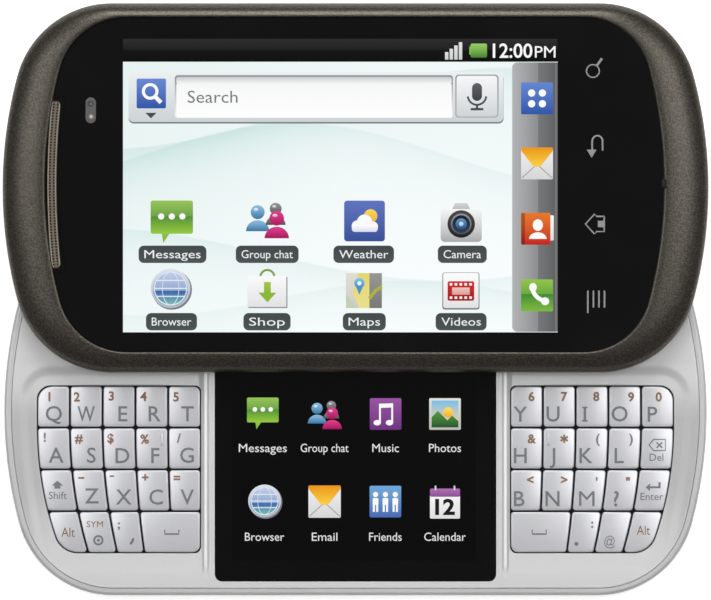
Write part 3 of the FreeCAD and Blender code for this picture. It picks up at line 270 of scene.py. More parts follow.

# %% [markdown]
# The finishes, one function each. A real moulded or painted surface is never one flat colour:
# its paint has a grain and its gloss is rubbed in places, so colour, roughness and normal all
# vary by noise at the size of the real grain. The deck's paint also carries painted light: a
# painted highlight along its ridge crests and painted shade up its sides.

# %% Finishes of the shells


def metallic_paint():
    """Brown grey paint with fine metal flake, as on the bezel."""
    paint = Paint("bezel_metallic_paint")
    flake = paint.noise(3.2, detail=1.0, roughness=0.8)
    cloud = paint.noise(0.05, detail=2.0)
    base = paint.blend(flake.step(0.36, 0.66), light(71, 67, 61), light(101, 96, 89))
    base = paint.blend(cloud * 0.3, base, light(72, 68, 62))
    return paint.finish(Base_Color=base, Metallic=0.85, Roughness=0.28 + flake * 0.14,
        Normal=paint.bump(flake, 0.35, 0.05))


def soft_touch():
    """Dark brown grey rubbery paint with a fine leathery grain, as on the backs."""
    paint = Paint("case_soft_touch_paint")
    grain = paint.noise(2.2, detail=3.0, roughness=0.6)
    worn = paint.noise(0.06, detail=3.0)
    base = paint.blend(grain, light(52, 49, 45), light(66, 62, 57))
    base = paint.blend(worn.step(0.55, 0.8) * 0.35, base, light(78, 74, 69))
    return paint.finish(Base_Color=base, Roughness=0.5 + worn * 0.15, Specular_IOR_Level=0.35,
        Normal=paint.bump(grain, 0.3, 0.04))


def silver_paint(name, low, high, roughness, metallic, ridges=False):
    """Fine silver paint between two tones. With ridges it is that of the deck, with painted light
    in
    its colour: painted shade that greys it up the sides and a painted highlight along the crests
    of the two ridges, 25.8 mm off the middle."""
    paint = Paint(name)
    flake = paint.noise(6.0, detail=1.0)
    cloud = paint.noise(0.03, detail=2.0)
    base = paint.blend(flake * 0.45 + cloud * 0.55, light(*low), light(*high))
    if ridges:
        x, y, _ = paint.axes()
        # painted highlight: the crests of the two ridges are brightened in the colour
        painted_crest_highlight = abs(abs(x) - 25.84).step(0.42, 0.1) * y.step(-29.0, -27.0) * y.step(9.8, 8.4)
        # painted shade: the deck is greyed towards its two outer ends, beside the key hollows
        grey = y.step(-29.0, -12.0) * y.step(6.0, -2.0) * abs(x).step(48.0, 56.0)
        base = paint.blend(grey, base, light(180, 180, 180))
        base = paint.blend(painted_crest_highlight * 0.8, base, light(244, 244, 244))
    return paint.finish(Base_Color=base, Metallic=metallic, Roughness=roughness + flake * 0.08,
        Normal=paint.bump(flake, 0.12, 0.02))


FINISHES = {
    "bezel_metallic": metallic_paint(),
    "case_soft_touch": soft_touch(),
    "silver_deck": silver_paint("silver_deck_paint", (200, 200, 200), (211, 211, 211),
                                0.36, 0.35, True),
    "silver_band": silver_paint("silver_band_paint", (188, 188, 189), (204, 204, 205), 0.3, 0.4),
    "keycap_silver": silver_paint("keycap_paint", (204, 204, 208), (218, 218, 221), 0.3, 0.6),
}
print("finishes:", sorted(FINISHES))

# %% Finishes of glass, metal and the inside


def black_glass(name="black_cover_glass", low=(10, 10, 10), high=(14, 14, 14), specular=0.24):
    """Hardened glass over black print, with faint finger smudges in its gloss."""
    paint = Paint(name)
    smudge = paint.noise(0.045, detail=4.0, roughness=0.6)
    base = paint.blend(smudge, light(*low), light(*high))
    return paint.finish(Base_Color=base, Roughness=0.05 + smudge.step(0.45, 0.75) * 0.1,
        Specular_IOR_Level=specular)


def plain_finish(name, low, high, per_mm, roughness, metallic=0.0, bump=0.1, stretch=None):
    """Two tones mixed by a grain, which also roughens and lifts the surface a little."""
    paint = Paint(name)
    grain = paint.noise(per_mm, detail=3.0, stretch=stretch)
    return paint.finish(Base_Color=paint.blend(grain, light(*low), light(*high)), Metallic=metallic,
        Roughness=roughness + grain * 0.12, Normal=paint.bump(grain, bump, 0.03))


def circuit_board():
    """Green board: copper lines under the mask show where a stretched brick pattern changes."""
    paint = Paint("circuit_board_mask")
    lines = paint.node("ShaderNodeTexBrick", None, {"Vector": paint.place(), "Scale": 900.0,
        "Mortar Size": 0.06, "Color1": light(16, 74, 44), "Color2": light(20, 86, 50),
        "Mortar": light(52, 110, 60)})
    grain = paint.noise(1.5)
    return paint.finish(Base_Color=lines, Roughness=0.35 + grain * 0.2, Normal=paint.bump(grain,
        0.1, 0.02))


FINISHES.update(black_glass=black_glass(), board=circuit_board(),
    display_module=plain_finish("display_frame", (38, 39, 41), (52, 53, 56), 0.8, 0.35, 0.6),
    bronze_mesh=plain_finish("bronze_frame", (112, 105, 97), (132, 124, 114), 2.5, 0.32, 0.8),
    spring_steel=plain_finish("brushed_steel", (150, 151, 152), (178, 179, 180), 0.6, 0.26, 1.0,
    0.15, (1, 9, 9)), cell=plain_finish("cell_sleeve", (58, 60, 64), (74, 76, 80), 0.5, 0.42),
    black_rubber=plain_finish("keymat_rubber", (18, 18, 18), (28, 28, 28), 1.6, 0.7),
    screw_steel=plain_finish("blackened_screw", (70, 70, 72), (96, 96, 98), 2.0, 0.3, 1.0),
    flex_film=plain_finish("amber_film", (150, 92, 28), (176, 112, 40), 0.7, 0.3),
    camera_window=plain_finish("camera_glass", (10, 11, 16), (20, 21, 30), 0.3, 0.04),
    side_key_metal=plain_finish("side_key_paint", (104, 99, 92), (122, 116, 108), 3.0, 0.32, 0.7))
print("finishes in all:", len(FINISHES))

# %% [markdown]
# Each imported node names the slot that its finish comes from, so one loop dresses them all. The
# nodes themselves are never moved or reshaped.

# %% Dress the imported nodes
FINISHES["deep_glass"] = black_glass("deep_cover_glass", (9, 9, 9), (13, 13, 13), 0.2)
for name, node in NODES.items():
    slots = [s.material.name if s.material else "" for s in node.material_slots]
    found = [next((k for k in FINISHES if k in s), None) for s in slots]
    for index, key in enumerate(found):
        if key:
            node.material_slots[index].material = FINISHES[key]
        else:
            print("no finish for", name, slots[index])
for name, key in (("inner_lens", "deep_glass"), ("earpiece", "black_glass")):
    for slot in NODES[name].material_slots:
        slot.material = FINISHES[key]
print("nodes dressed:", len(NODES))

# %% [markdown]
# Every new shape is a grid of points: loops of points that run round the piece, one loop inside
# the next. Loops run against the clock seen from above and go from the outer low edge up and
# inwards, so that all faces point outwards.

# %% Surfaces from grids


def grid_faces(rows, columns, closed=True):
    """Quads between neighbouring loops; closed joins the end of each loop to its start."""
    row = np.arange(rows - 1)[:, None] * columns
    column = np.arange(columns if closed else columns - 1)[None, :]
    after = (column + 1) % columns
    quads = [row + column, row + after, row + columns + after, row + columns + column]
    return np.stack(quads, axis=-1).reshape(-1, 4)


def add_piece(name, points, faces, body, finish, replaced=(), smooth=True,
              tints=None):
    """A mesh from points in millimetres, at the origin, riding on a body of the frame."""
    mesh = bpy.data.meshes.new(name)
    corners = [list(map(int, face)) for face in faces]
    mesh.from_pydata((np.asarray(points, float) * MM).tolist(), [], corners)
    mesh.materials.append(finish)
    mesh.polygons.foreach_set("use_smooth", np.full(len(corners), smooth))
    if tints is not None:
        layer = mesh.color_attributes.new("tint", "FLOAT_COLOR", "POINT")
        layer.data.foreach_set("color", np.asarray(tints, np.float32).ravel())
    mesh.update()
    piece = bpy.data.objects.new(name, mesh)
    bpy.context.scene.collection.objects.link(piece)
    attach(piece, body)
    if replaced:
        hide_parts(*replaced)
    return piece


def closed_top(loops):
    """Points and faces of loops of points, with the last loop closed by one face."""
    rows, columns = loops.shape[:2]
    faces = grid_faces(rows, columns).tolist()
    faces.append(list(range((rows - 1) * columns, rows * columns)))
    return loops.reshape(-1, 3), faces


def lift(loop, height):
    """A flat loop raised to a height, one number or one for each point."""
    return np.column_stack([loop, np.broadcast_to(height, len(loop))])


# %% [markdown]
# The plan of the phone, of its cover glass and of the deck is one family: two straight sides,
# corner arcs, and ends that are wide shallow arcs. One function samples it with the same count
# in each arc, so that two such loops can be joined point to point.

# %% Plan of the halves
HALF_LENGTH, HALF_WIDTH, CORNER, END = 60.7, 31.75, 16.86, 74.5
GLASS_LENGTH, GLASS_WIDTH, GLASS_CORNER, GLASS_END, GLASS_SHIFT = 53.1, 28.62, 11.7, 77.4, 0.5


def plan_loop(half_length, half_width, corner, end, shift_y=0.0, counts=(20, 26, 22)):
    """Quarter: an arc of radius end about (half_length - end, 0), a corner arc that touches it,
    then the straight side; mirrored into a whole loop that starts at the +X end."""
    corner_y = half_width - corner
    reach = math.sqrt((end - corner) ** 2 - corner_y**2)
    corner_x = half_length - end + reach
    turn = math.atan2(corner_y, reach)
    a = np.linspace(0, turn, counts[0], endpoint=False)
    b = np.linspace(turn, math.pi / 2, counts[1], endpoint=False)
    side_x = np.linspace(corner_x, 0, counts[2] + 1)
    quarter = np.concatenate([np.stack([half_length - end + end * np.cos(a), end * np.sin(a)], 1),
        np.stack([corner_x + corner * np.cos(b), corner_y + corner * np.sin(b)], 1),
        np.stack([side_x, np.full_like(side_x, half_width)], 1)])
    half = np.concatenate([quarter, quarter[-2::-1] * (-1, 1)])
    loop = np.concatenate([half, half[-2:0:-1] * (1, -1)])
    return loop + (0, shift_y)


def body_loop(inset=0.0):
    """The plan of both halves, moved in by an inset."""
    return plan_loop(HALF_LENGTH - inset, HALF_WIDTH - inset, CORNER - inset, END - inset)


def lens_loop(grow=0.0):
    """The plan of the big cover glass, half a millimetre towards the top edge."""
    return plan_loop(GLASS_LENGTH + grow, GLASS_WIDTH + grow, GLASS_CORNER + grow,
                     GLASS_END + grow, shift_y=GLASS_SHIFT)


print("points round the plan:", len(body_loop()))

# %% [markdown]
# The bezel is the part that the light plays on. Its crown is an arc that runs into a slope between
# the outer edge and the glass: each loop lies a share of the way from the outer plan to the
# plan of the glass, at the height the crown has there. A small lip then drops to the glass.
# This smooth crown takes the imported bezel's place.

# %% Crowned bezel
CROWN_LOW, CROWN_TOP, CROWN_REACH, CROWN_ROUND = 12.75, 15.68, 0.88, 0.88
RIGHT_INSET, INSET_START, INSET_RUN = 0.4, 30, 23  # the frame is wider at its right end


def bezel_profile():
    """Pairs of share and height: up the wall, round the crown, level, down the lip. The crown
    is the mean of an ellipse and a straight slope, weighted by CROWN_ROUND."""
    turn = np.linspace(0, math.pi / 2, 22)
    share = CROWN_REACH * (1 - np.cos(turn))
    rise = CROWN_ROUND * np.sin(turn) + (1 - CROWN_ROUND) * (1 - np.cos(turn))
    height = CROWN_LOW + (CROWN_TOP - CROWN_LOW) * rise
    lip = [(0.93, 15.66), (0.958, 15.60), (0.978, 15.5), (0.985, 15.3), (0.985, 14.9)]
    wall = [(0.0, 10.6), (0.0, 11.2), (0.0, 12.2)]
    return np.array([*wall, *zip(share, height), *lip])


outer, inner = body_loop() + (0, TRAVEL), lens_loop(0.02) + (0, TRAVEL)
inner[:, 0] -= RIGHT_INSET * np.clip((inner[:, 0] - INSET_START) / INSET_RUN, 0, 1)
loops = np.stack([lift(outer * (1 - w) + inner * w, z) for w, z in bezel_profile()])
bezel = add_piece("crowned_bezel", loops.reshape(-1, 3), grid_faces(len(loops), len(outer)),
    "display_half", FINISHES["bezel_metallic"], replaced=("upper_bezel",))
print("bezel faces:", len(bezel.data.polygons))

# %% [markdown]
# A key's cell lies between two column lines. From the second row down these lines bow towards
# the middle, the outer ones more. A cell's plan is four sides, each a row of points, and its
# corners are rounded by arcs: a rational curve of second degree, with the sine of half the
# corner's angle as its middle weight, is an exact arc between two straight sides.

# %% Plan of a key cell
INNER_X, COLUMN_PITCH, ROW_PITCH, ROWS_TOP, BOW_START = 26.72, 5.655, 7.22, 4.48, -2.74
BOWS = (None, 280.0, 150.0, 93.0, 74.0, 58.0)
CAP_GAP, WELL_GROW = 0.14, 0.05


def column_x(line, y, grow=0.0):
    """Distance from the middle of a column line at y: straight, then an arc below BOW_START."""
    x = INNER_X + COLUMN_PITCH * line + grow
    if BOWS[line] is None:
        return np.full_like(y, x)
    bow = BOWS[line] + grow
    drop = np.clip(BOW_START - y, 0, None)
    return x - (bow - np.sqrt(bow**2 - drop**2))


def between(side, start, end, count):
    """Points along a row of points, from a distance after its start to one before its end."""
    steps = np.linalg.norm(np.diff(side, axis=0), axis=1)
    along = np.concatenate([[0], np.cumsum(steps)])
    at = np.linspace(start, along[-1] - end, count)
    return np.stack([np.interp(at, along, side[:, 0]), np.interp(at, along, side[:, 1])], 1)


def rounded_cell(sides, radii, along=10, round_count=7):
    """A loop from four sides, with the corner after each side rounded to a radius."""
    cuts, weights = [], []
    for k in range(4):
        back = sides[k][-2] - sides[k][-1]
        ahead = sides[(k + 1) % 4][1] - sides[(k + 1) % 4][0]
        cosine = back @ ahead / np.linalg.norm(back) / np.linalg.norm(ahead)
        half_angle = math.acos(cosine) / 2
        cuts.append(radii[k] / math.tan(half_angle))
        weights.append(math.sin(half_angle))
    trimmed = [between(sides[k], cuts[k - 1], cuts[k], along) for k in range(4)]
    t = np.linspace(0, 1, round_count + 2)[1:-1, None]
    parts = []
    for k in range(4):
        start, end = trimmed[k][-1], trimmed[(k + 1) % 4][0]
        basis = np.hstack([(1 - t) ** 2, 2 * t * (1 - t) * weights[k], t**2])
        turn = basis @ np.stack([start, sides[k][-1], end]) / basis.sum(axis=1, keepdims=True)
        parts += [trimmed[k], turn]
    return np.concatenate(parts)


def cell_loop(side, first, last, high, low, grow, radii, along=10, round_count=7):
    """The plan of a key or a well. radii are those of its corners, outer low, outer top, inner
    top and inner low. side is 1 on the right and -1 on the left."""
    high, low = high + grow, low - grow
    up = np.linspace(low, high, 40)
    inner_edge = np.stack([column_x(first, up, -grow), up], 1)
    outer_edge = np.stack([column_x(last, up, grow), up], 1)
    sides = [np.linspace(inner_edge[0], outer_edge[0], 40), outer_edge, np.linspace(outer_edge[-1],
        inner_edge[-1], 40), inner_edge[::-1]]
    loop = rounded_cell(sides, radii, along, round_count)
    return loop if side > 0 else (loop * (-1, 1))[::-1]


def inset_loop(loop, inset):
    """A loop moved in along its normals, which are its tangents turned by a right angle."""
    tangent = np.roll(loop, -1, axis=0) - np.roll(loop, 1, axis=0)
    tangent /= np.linalg.norm(tangent, axis=1, keepdims=True)
    return loop + inset * np.stack([-tangent[:, 1], tangent[:, 0]], 1)


CLUSTER_RADII = (4.2, 2.4, 1.06, 1.2)
wells = {side: cell_loop(side, 0, 5, ROWS_TOP, ROWS_TOP - 4 * ROW_PITCH, WELL_GROW, CLUSTER_RADII,
    60, 20) for side in (-1, 1)}
print("well, mm:", wells[1].min(0).round(2), wells[1].max(0).round(2))

# %% [markdown]
# The deck round the keys is one soft moulding: a shallow hollow for each cluster that has a
# clear edge above and outside and fades out towards the bottom, and an upright ridge on either
# side of the small display. All of it is one height for each place in plan. The surface is
# ruled between a hole's loop and the outer loop of its block, along rays from the hole's
# middle, closer together near both ends.

# %% Height of the deck
DECK_TOP, RECESS_DEPTH, POCKET_DEPTH = 8.5, 0.42, 0.62
HOLLOW_SIDE, HOLLOW_TOP, HOLLOW_CORNER = 57.6, 7.4, 5.0
RIDGE_RISE, STEP_RISE, MIDDLE_DROP = 0.26, 0.04, 0.05
LENS_X, LENS_LOW, LENS_HIGH = 24.3, -29.31, 10.0


def smooth(value, low, high):
    """0 below low, 1 above high, with a smooth rise: 3 t squared less 2 t cubed."""
    t = np.clip((value - low) / (high - low), 0, 1)
    return t * t * (3 - 2 * t)


def deck_height(x, y):
    """The flat top, less the hollow and the pocket under the guide plate, plus the ridge. The
    hollow is the inside of a rounded box by its signed distance, faded out downwards; the ridge
    is a smooth bump across |x|."""
    across = np.abs(x)
    from_side = across - (HOLLOW_SIDE - 0.012 * np.clip(-y, 0, None) ** 1.75)
    qx, qy = from_side + HOLLOW_CORNER, y - HOLLOW_TOP + HOLLOW_CORNER
    outside = np.hypot(np.clip(qx, 0, None), np.clip(qy, 0, None)) - HOLLOW_CORNER
    distance = np.minimum(np.maximum(qx, qy), 0) + outside
    hollow = smooth(-distance, -0.7, 1.3) * smooth(across, 26.4, 27.2)
    fade = smooth(y, -30.0, -14.0)
    ridge = smooth(across, 25.2, 25.75) * smooth(-across, -26.6, -26.0)
    step = smooth(across, 24.5, 24.8) * smooth(-across, -25.2, -25.0)
    run = smooth(y, -28.2, -26.5) * smooth(-y, -9.6, -8.0)
    pocket = smooth(-across, -42.1, -42.0) * smooth(y, 10.3, 10.4) * smooth(-y, -28.4, -28.3)
    raised = (RIDGE_RISE * ridge + STEP_RISE * step - MIDDLE_DROP) * run
    return DECK_TOP - RECESS_DEPTH * hollow * fade + raised - POCKET_DEPTH * pocket


def ruled_block(hole, outer, center, steps):
    """Loops between a hole and an outer loop that both surround a point. Both are read at the
    same directions from it, the directions of all their own points."""
    found = []
    for loop in (hole, outer):
        angle = np.arctan2(*(loop - center).T[::-1])
        order = np.argsort(angle)
        found.append((angle[order], loop[order]))
    directions = np.unique(np.concatenate([found[0][0], found[1][0]]).round(5))
    read = [np.stack([np.interp(directions, a, p[:, k], period=2 * math.pi) for k in (0, 1)],
        1) for a, p in found]
    flat = np.stack([read[1] * s + read[0] * (1 - s) for s in steps])
    return np.concatenate([flat, deck_height(flat[..., 0], flat[..., 1])[..., None]], axis=2)


def crowded(count, power=1.6):
    """Shares from 1 to 0 that lie closer together near both ends."""
    t = np.linspace(-1, 1, count)
    return (1 - np.sign(t) * (1 - (1 - np.abs(t)) ** power)) / 2


# %% Deck blocks
SPLIT_X, BAND_INSET = 25.2, 1.33
DECK_WALL_LOW, HOLE_ROUND, EDGE_ROUND = 7.0, 0.14, 0.12
deck_outer = body_loop(BAND_INSET)


def block_outer(low_x, high_x):
    """The part of the deck's plan between two upright lines, with its corners and its cuts."""
    inside = deck_outer[(deck_outer[:, 0] > low_x + 0.02) & (deck_outer[:, 0] < high_x - 0.02)]
    top = HALF_WIDTH - BAND_INSET
    cuts = [np.stack([np.full(90, x), np.linspace(-top, top, 90)], 1) for x in (low_x,
        high_x) if abs(x) < 30]
    extra = np.linspace(max(low_x, -40), min(high_x, 40), 80)
    sides = [np.stack([extra, np.full(80, s * top)], 1) for s in (-1, 1)]
    return np.concatenate([inside, *cuts, *sides])


def deck_block(hole, outer, center, wall_low):
    """One block: a wall up from the outer edge, the moulded top, a rounded rim at the hole and
    a wall down into it."""
    top = ruled_block(hole, outer, np.array(center), crowded(44))
    low_outer, low_inner = top[0].copy(), top[-1].copy()
    low_outer[:, 2] = DECK_WALL_LOW
    low_inner[:, 2] = wall_low
    rim = top[-1].copy()
    rim[:, 2] -= HOLE_ROUND
    top[0, :, 2] -= EDGE_ROUND * (np.abs(np.abs(top[0, :, 0]) - SPLIT_X) > 0.05)
    return np.concatenate([low_outer[None], top[:-1], rim[None], low_inner[None]])


lens_corner = 1.3
lens_sides = [np.linspace((-LENS_X, LENS_LOW), (LENS_X, LENS_LOW), 60), np.linspace((LENS_X,
    LENS_LOW), (LENS_X, LENS_HIGH), 60), np.linspace((LENS_X, LENS_HIGH), (-LENS_X, LENS_HIGH), 60),
    np.linspace((-LENS_X, LENS_HIGH), (-LENS_X, LENS_LOW), 60)]
lens_hole = rounded_cell(lens_sides, (lens_corner,) * 4, 70, 12)
blocks = [deck_block(wells[-1], block_outer(-99, -SPLIT_X), (-40.0, -9.5), DECK_WALL_LOW),
    deck_block(lens_hole, block_outer(-SPLIT_X, SPLIT_X), (0.0, -9.6), 7.6), deck_block(wells[1],
    block_outer(SPLIT_X, 99), (40.0, -9.5), DECK_WALL_LOW)]
points, faces, count = [], [], 0
for block in blocks:
    points.append(block.reshape(-1, 3))
    faces.append(grid_faces(*block.shape[:2]) + count)
    count += len(points[-1])
deck = add_piece("moulded_deck", np.concatenate(points), np.concatenate(faces), "base",
    FINISHES["silver_deck"], replaced=("key_deck",))
print("deck faces:", len(deck.data.polygons))

# %% [markdown]
# What is printed or shown in light is artwork: flat shapes laid one over the other, a few
# micrometres apart, on the surface that carries them. Each shape keeps its own colours in the
# mesh, in a point attribute, and one finish reads them. A colour that runs evenly from one end
# of a shape to the other stays even however the shape is cut into triangles. Places are read
# from the picture in pixels, and each surface has its own scale from pixels to millimetres.

# %% Artwork
LAYER_STEP = 0.004
MIDDLE_X, UPPER_Y, LOWER_Y = 355.5, 187.49, 411.77
UPPER_PIXEL, LOWER_PIXEL = 0.17153, 0.17267


def on_display_half(x, y):
    """Picture pixels to millimetres on the display half."""
    return np.stack([x - MIDDLE_X, UPPER_Y - y], -1) * UPPER_PIXEL + (0, TRAVEL)


def on_base(x, y):
    """Picture pixels to millimetres on the base half."""
    return np.stack([x - MIDDLE_X, LOWER_Y - y], -1) * LOWER_PIXEL


def box(x0, y0, x1, y1, radius=0.0):
    """A rectangle with its corners rounded by quarter circles."""
    radius = min(max(radius, 0.01), (x1 - x0) / 2, (y1 - y0) / 2)
    turn = np.linspace(0, math.pi / 2, 2 if radius < 0.1 else 7)
    middles = [(x1 - radius, y1 - radius), (x0 + radius, y1 - radius), (x0 + radius, y0 + radius),
        (x1 - radius, y0 + radius)]
    parts = [np.stack([x + radius * np.cos(turn + k * math.pi / 2),
        y + radius * np.sin(turn + k * math.pi / 2)], 1) for k, (x, y) in enumerate(middles)]
    return np.concatenate(parts)


def disc(x, y, radius, squash=1.0, start=0.0, stop=360.0):
    """A circle, an ellipse or a slice of one, by its angles in degrees, clockwise on screen."""
    turn = np.radians(np.linspace(start, stop, 33)[: -1 if stop - start >= 360 else None])
    return np.stack([x + radius * np.cos(turn), y + squash * radius * np.sin(turn)], 1)


def shape(*places):
    """A straight sided shape from its corners."""
    return np.array(places, float)


def stroke(places, width):
    """A line of even width: every point is set out both ways along the line's normal there."""
    places = np.array(places, float)
    along = np.gradient(places, axis=0)
    along /= np.linalg.norm(along, axis=1, keepdims=True)
    side = np.stack([-along[:, 1], along[:, 0]], 1) * width / 2
    count = len(places)
    lower = np.arange(count - 1)
    faces = np.stack([lower, lower + 1, lower + 1 + count, lower + count], 1)
    return np.concatenate([places - side, places + side]), faces.tolist()


def ring(x, y, radius, width, squash=1.0, start=0.0, stop=360.0):
    """A round line, whole or in part."""
    turn = np.radians(np.linspace(start, stop, 37))
    places = [x + radius * np.cos(turn), y + squash * radius * np.sin(turn)]
    return stroke(np.stack(places, 1), width)


def lettering(text, x, y, cap, width=None, weight=0.0):
    """Upright letters around x on the base line y, with a height of capitals and, where it is
    given, a whole width. weight widens the strokes."""
    curve = bpy.data.curves.new("lettering", "FONT")
    curve.body = text
    curve.offset = 0.0 if "M" in text else weight  # a wider M closes up
    curve.resolution_u = 3
    holder = bpy.data.objects.new("lettering", curve)
    mesh = bpy.data.meshes.new_from_object(holder)
    points = np.array([v.co[:2] for v in mesh.vertices])
    faces = [list(p.vertices) for p in mesh.polygons]
    bpy.data.objects.remove(holder)
    bpy.data.curves.remove(curve)
    bpy.data.meshes.remove(mesh)
    points *= cap / CAPITAL
    low, high = points[:, 0].min(), points[:, 0].max()
    stretch = width / (high - low) if width else 1.0
    return np.stack([x + (points[:, 0] - (low + high) / 2) * stretch, y - points[:, 1]], 1), faces


CAPITAL = 1.0
CAPITAL = np.ptp(lettering("H", 0, 0, 1.0)[0][:, 1])


class Artwork:
    """Shapes in layers from a base height upwards, in picture pixels until they are placed.
    Drawings side by side share layers: layer is set back before each of them."""

    def __init__(self, place, height):
        self.place = place
        self.height = height
        self.points, self.faces, self.tints = [], [], []
        self.layer = self.count = 0
        self.middle, self.scale = (0.0, 0.0), 1.0

    def draw(self, icon, x, y, scale):
        """An icon, drawn in its own units about a middle at a scale."""
        self.middle, self.scale = (x, y), scale
        icon(self)
        self.middle, self.scale = (0.0, 0.0), 1.0

    def add(self, form, color, end_color=None, across=False):
        """One shape, or a pair of points and faces. With an end colour the colour runs evenly
        from the top to the bottom of the shape, or from left to right if it runs across."""
        points, faces = form if isinstance(form, tuple) else (form, [list(range(len(form)))])
        points = points * self.scale + self.middle
        start, end = np.array(light(*color)), np.array(light(*(end_color or color)))
        run = points[:, 0 if across else 1]
        share = ((run - run.min()) / max(np.ptp(run), 1e-9))[:, None]
        flat = self.place(points[:, 0], points[:, 1])
        for face in faces:
            x, y = flat[face].T
            turned = np.sum(x * np.roll(y, -1) - y * np.roll(x, -1)) < 0
            self.faces.append([i + self.count for i in (face[::-1] if turned else face)])
        self.points.append(lift(flat, self.height + LAYER_STEP * self.layer))
        self.layer += 1
        self.tints.append(start * (1 - share) + end * share)
        self.count += len(points)

    def make(self, name, body, finish, follow=None):
        points = np.concatenate(self.points)
        if follow is not None:
            points[:, 2] += follow(points[:, 0], points[:, 1]) - self.height
        return add_piece(name, points, self.faces, body, finish, smooth=False,
            tints=np.concatenate(self.tints))


# %% Finishes of artwork
DOT_PITCH = 0.155


def dot_grid(value, depth):
    """1, less a depth half way between the dots of a screen along one axis."""
    return 1 - depth * abs((value / DOT_PITCH).math("FRACT") - 0.5)


def lit_glass(paint, tone, share):
    """A colour that glows, by a share of its light, under the gloss of its glass."""
    return paint.finish(Base_Color=light(4, 4, 4), Emission_Color=paint.scaled(tone, share),
        Emission_Strength=1.0, Roughness=0.06 + paint.noise(0.05, detail=3.0) * 0.05,
        Specular_IOR_Level=0.28)


def shown_light():
    """A lit screen: the tint glows through a fine grid of dots."""
    paint = Paint("screen_light")
    tint = paint.node("ShaderNodeAttribute", {"attribute_name": "tint"})
    x, y, _ = paint.axes()
    return lit_glass(paint, tint, dot_grid(x, 0.05) * dot_grid(y, 0.05) * 1.02)


def printed_ink():
    """Ink printed on a key or glass: its tint, a little uneven, and half matt."""
    paint = Paint("printed_ink")
    tint = paint.node("ShaderNodeAttribute", {"attribute_name": "tint"})
    wear = paint.noise(3.0, detail=2.0)
    tone = paint.scaled(tint, 0.92 + wear * 0.16)
    return paint.finish(Base_Color=tone, Roughness=0.42 + wear * 0.1, Specular_IOR_Level=0.3)


SCREEN, INK = shown_light(), printed_ink()
print("height of a capital letter of size 1:", round(CAPITAL, 3))

# %% [markdown]
# A keycap is a low pillow: an upright side, a tight rounded edge and a top whose crown lies off
# its middle, towards the inner low corner, so that each key leans a little outwards and up the
# keyboard, where the picture shows its highlight. The loops of its plan shrink towards its
# middle, and each point's height follows from its place.

# %% Keycaps
KEY_LOW, KEY_EDGE, KEY_CROWN, LEGEND_LIFT = 7.25, 8.27, 0.4, 0.05
KEY_ROWS = {
    -1: [["t", "r", "e", "w", "q"], ["g", "f", "d", "s", "a"], ["v", "c", "x", "z", "shift"],
         ["space_left", "comma", "symbol", "alt_left"]],
    1: [["y", "u", "i", "o", "p"], ["h", "j", "k", "l", "delete"],
        ["b", "n", "m", "question", "enter"], ["space_right", "period", "at", "alt_right"]],
}


def key_spans(names):
    """First and last column line of each key of a row: the space bar is two columns wide."""
    last = 0
    for name in names:
        first, last = last, last + (2 if name.startswith("space") else 1)
        yield name, first, last


def pillow_height(side, center, half):
    """The top of one key as a function of x and y: the crown less squares of the distance from
    a peak that lies 0.45 of the half width inwards and half the half height down."""
    def height(x, y):
        u = np.clip(side * (x - center[0]) / half[0], -1.1, 1.1)
        v = np.clip((y - center[1]) / half[1], -1.1, 1.1)
        return KEY_EDGE + KEY_CROWN * (1 - 0.46 * (u + 0.45) ** 2 - 0.3 * (v + 0.5) ** 2)
    return height


def key_radii(row, first, last):
    """Corner radii of one key: outer low, outer top, inner top and inner low."""
    return (4.2 if last == 5 and row == 3 else 0.5, 2.4 if last == 5 and row == 0 else 0.5,
        1.06 if first == 0 and row == 0 else 0.5, 1.2 if first == 0 and row == 3 else 0.5)


key_tops = {}
for side, rows in KEY_ROWS.items():
    for row, names in enumerate(rows):
        for name, first, last in key_spans(names):
            high = ROWS_TOP - ROW_PITCH * row
            loop = cell_loop(side, first, last, high, high - ROW_PITCH, -CAP_GAP, key_radii(row,
                first, last))
            low_corner, high_corner = loop.min(0), loop.max(0)
            center, half = (low_corner + high_corner) / 2, (high_corner - low_corner) / 2
            top = pillow_height(side, center, half)
            rounded = [(0.0, -0.2), (0.012, -0.11), (0.045, -0.045), (0.1, -0.01), (0.16, 0.0)]
            edge = [inset_loop(loop, inset) for inset, _ in rounded]
            edge = [lift(e, top(*e.T) + drop) for e, (_, drop) in zip(edge, rounded)]
            shrunk = [center + (edge[-1][:, :2] - center) * s for s in (0.88, 0.74, 0.6, 0.45, 0.3,
                0.15, 0.04)]
            face = [lift(s, top(*s.T)) for s in shrunk]
            points, faces = closed_top(np.stack([lift(loop, KEY_LOW), *edge, *face]))
            add_piece("cap_" + name, points, faces, "key_" + name, FINISHES["keycap_silver"],
                replaced=("key_" + name,))
            key_tops[name] = top
print("keycaps:", len(key_tops))

# %% [markdown]
# The legends: grey letters, and smaller brown digits and signs in the upper outer corner that
# the Alt key gives. Each set lies on its own key and moves with it, a hair above the crown.

# %% Legends
GREY, BROWN = (112, 114, 121), (128, 100, 74)
LETTER_CAP, SIGN_CAP, WORD_CAP = 14.8, 8.6, 7.2
LETTERS = {
    "Q": (53.9, 421.0), "W": (86.2, 421.2), "E": (122.9, 421.2), "R": (154.6, 421.2),
    "T": (187.5, 421.2), "A": (56.2, 462.6), "S": (91.4, 462.6), "D": (122.5, 463.0),
    "F": (155.4, 463.0), "G": (187.0, 462.6), "Z": (91.8, 503.3), "X": (123.7, 504.4),
    "C": (156.1, 504.4), "V": (187.2, 504.4), "Y": (520.3, 421.5), "U": (553.0, 421.3),
    "I": (584.8, 421.5), "O": (619.6, 421.2), "P": (652.4, 421.6), "H": (520.3, 463.0),
    "J": (552.5, 463.0), "K": (586.0, 463.0), "L": (619.1, 463.0), "B": (519.2, 506.0),
    "N": (552.5, 506.0), "M": (586.8, 506.0),
}
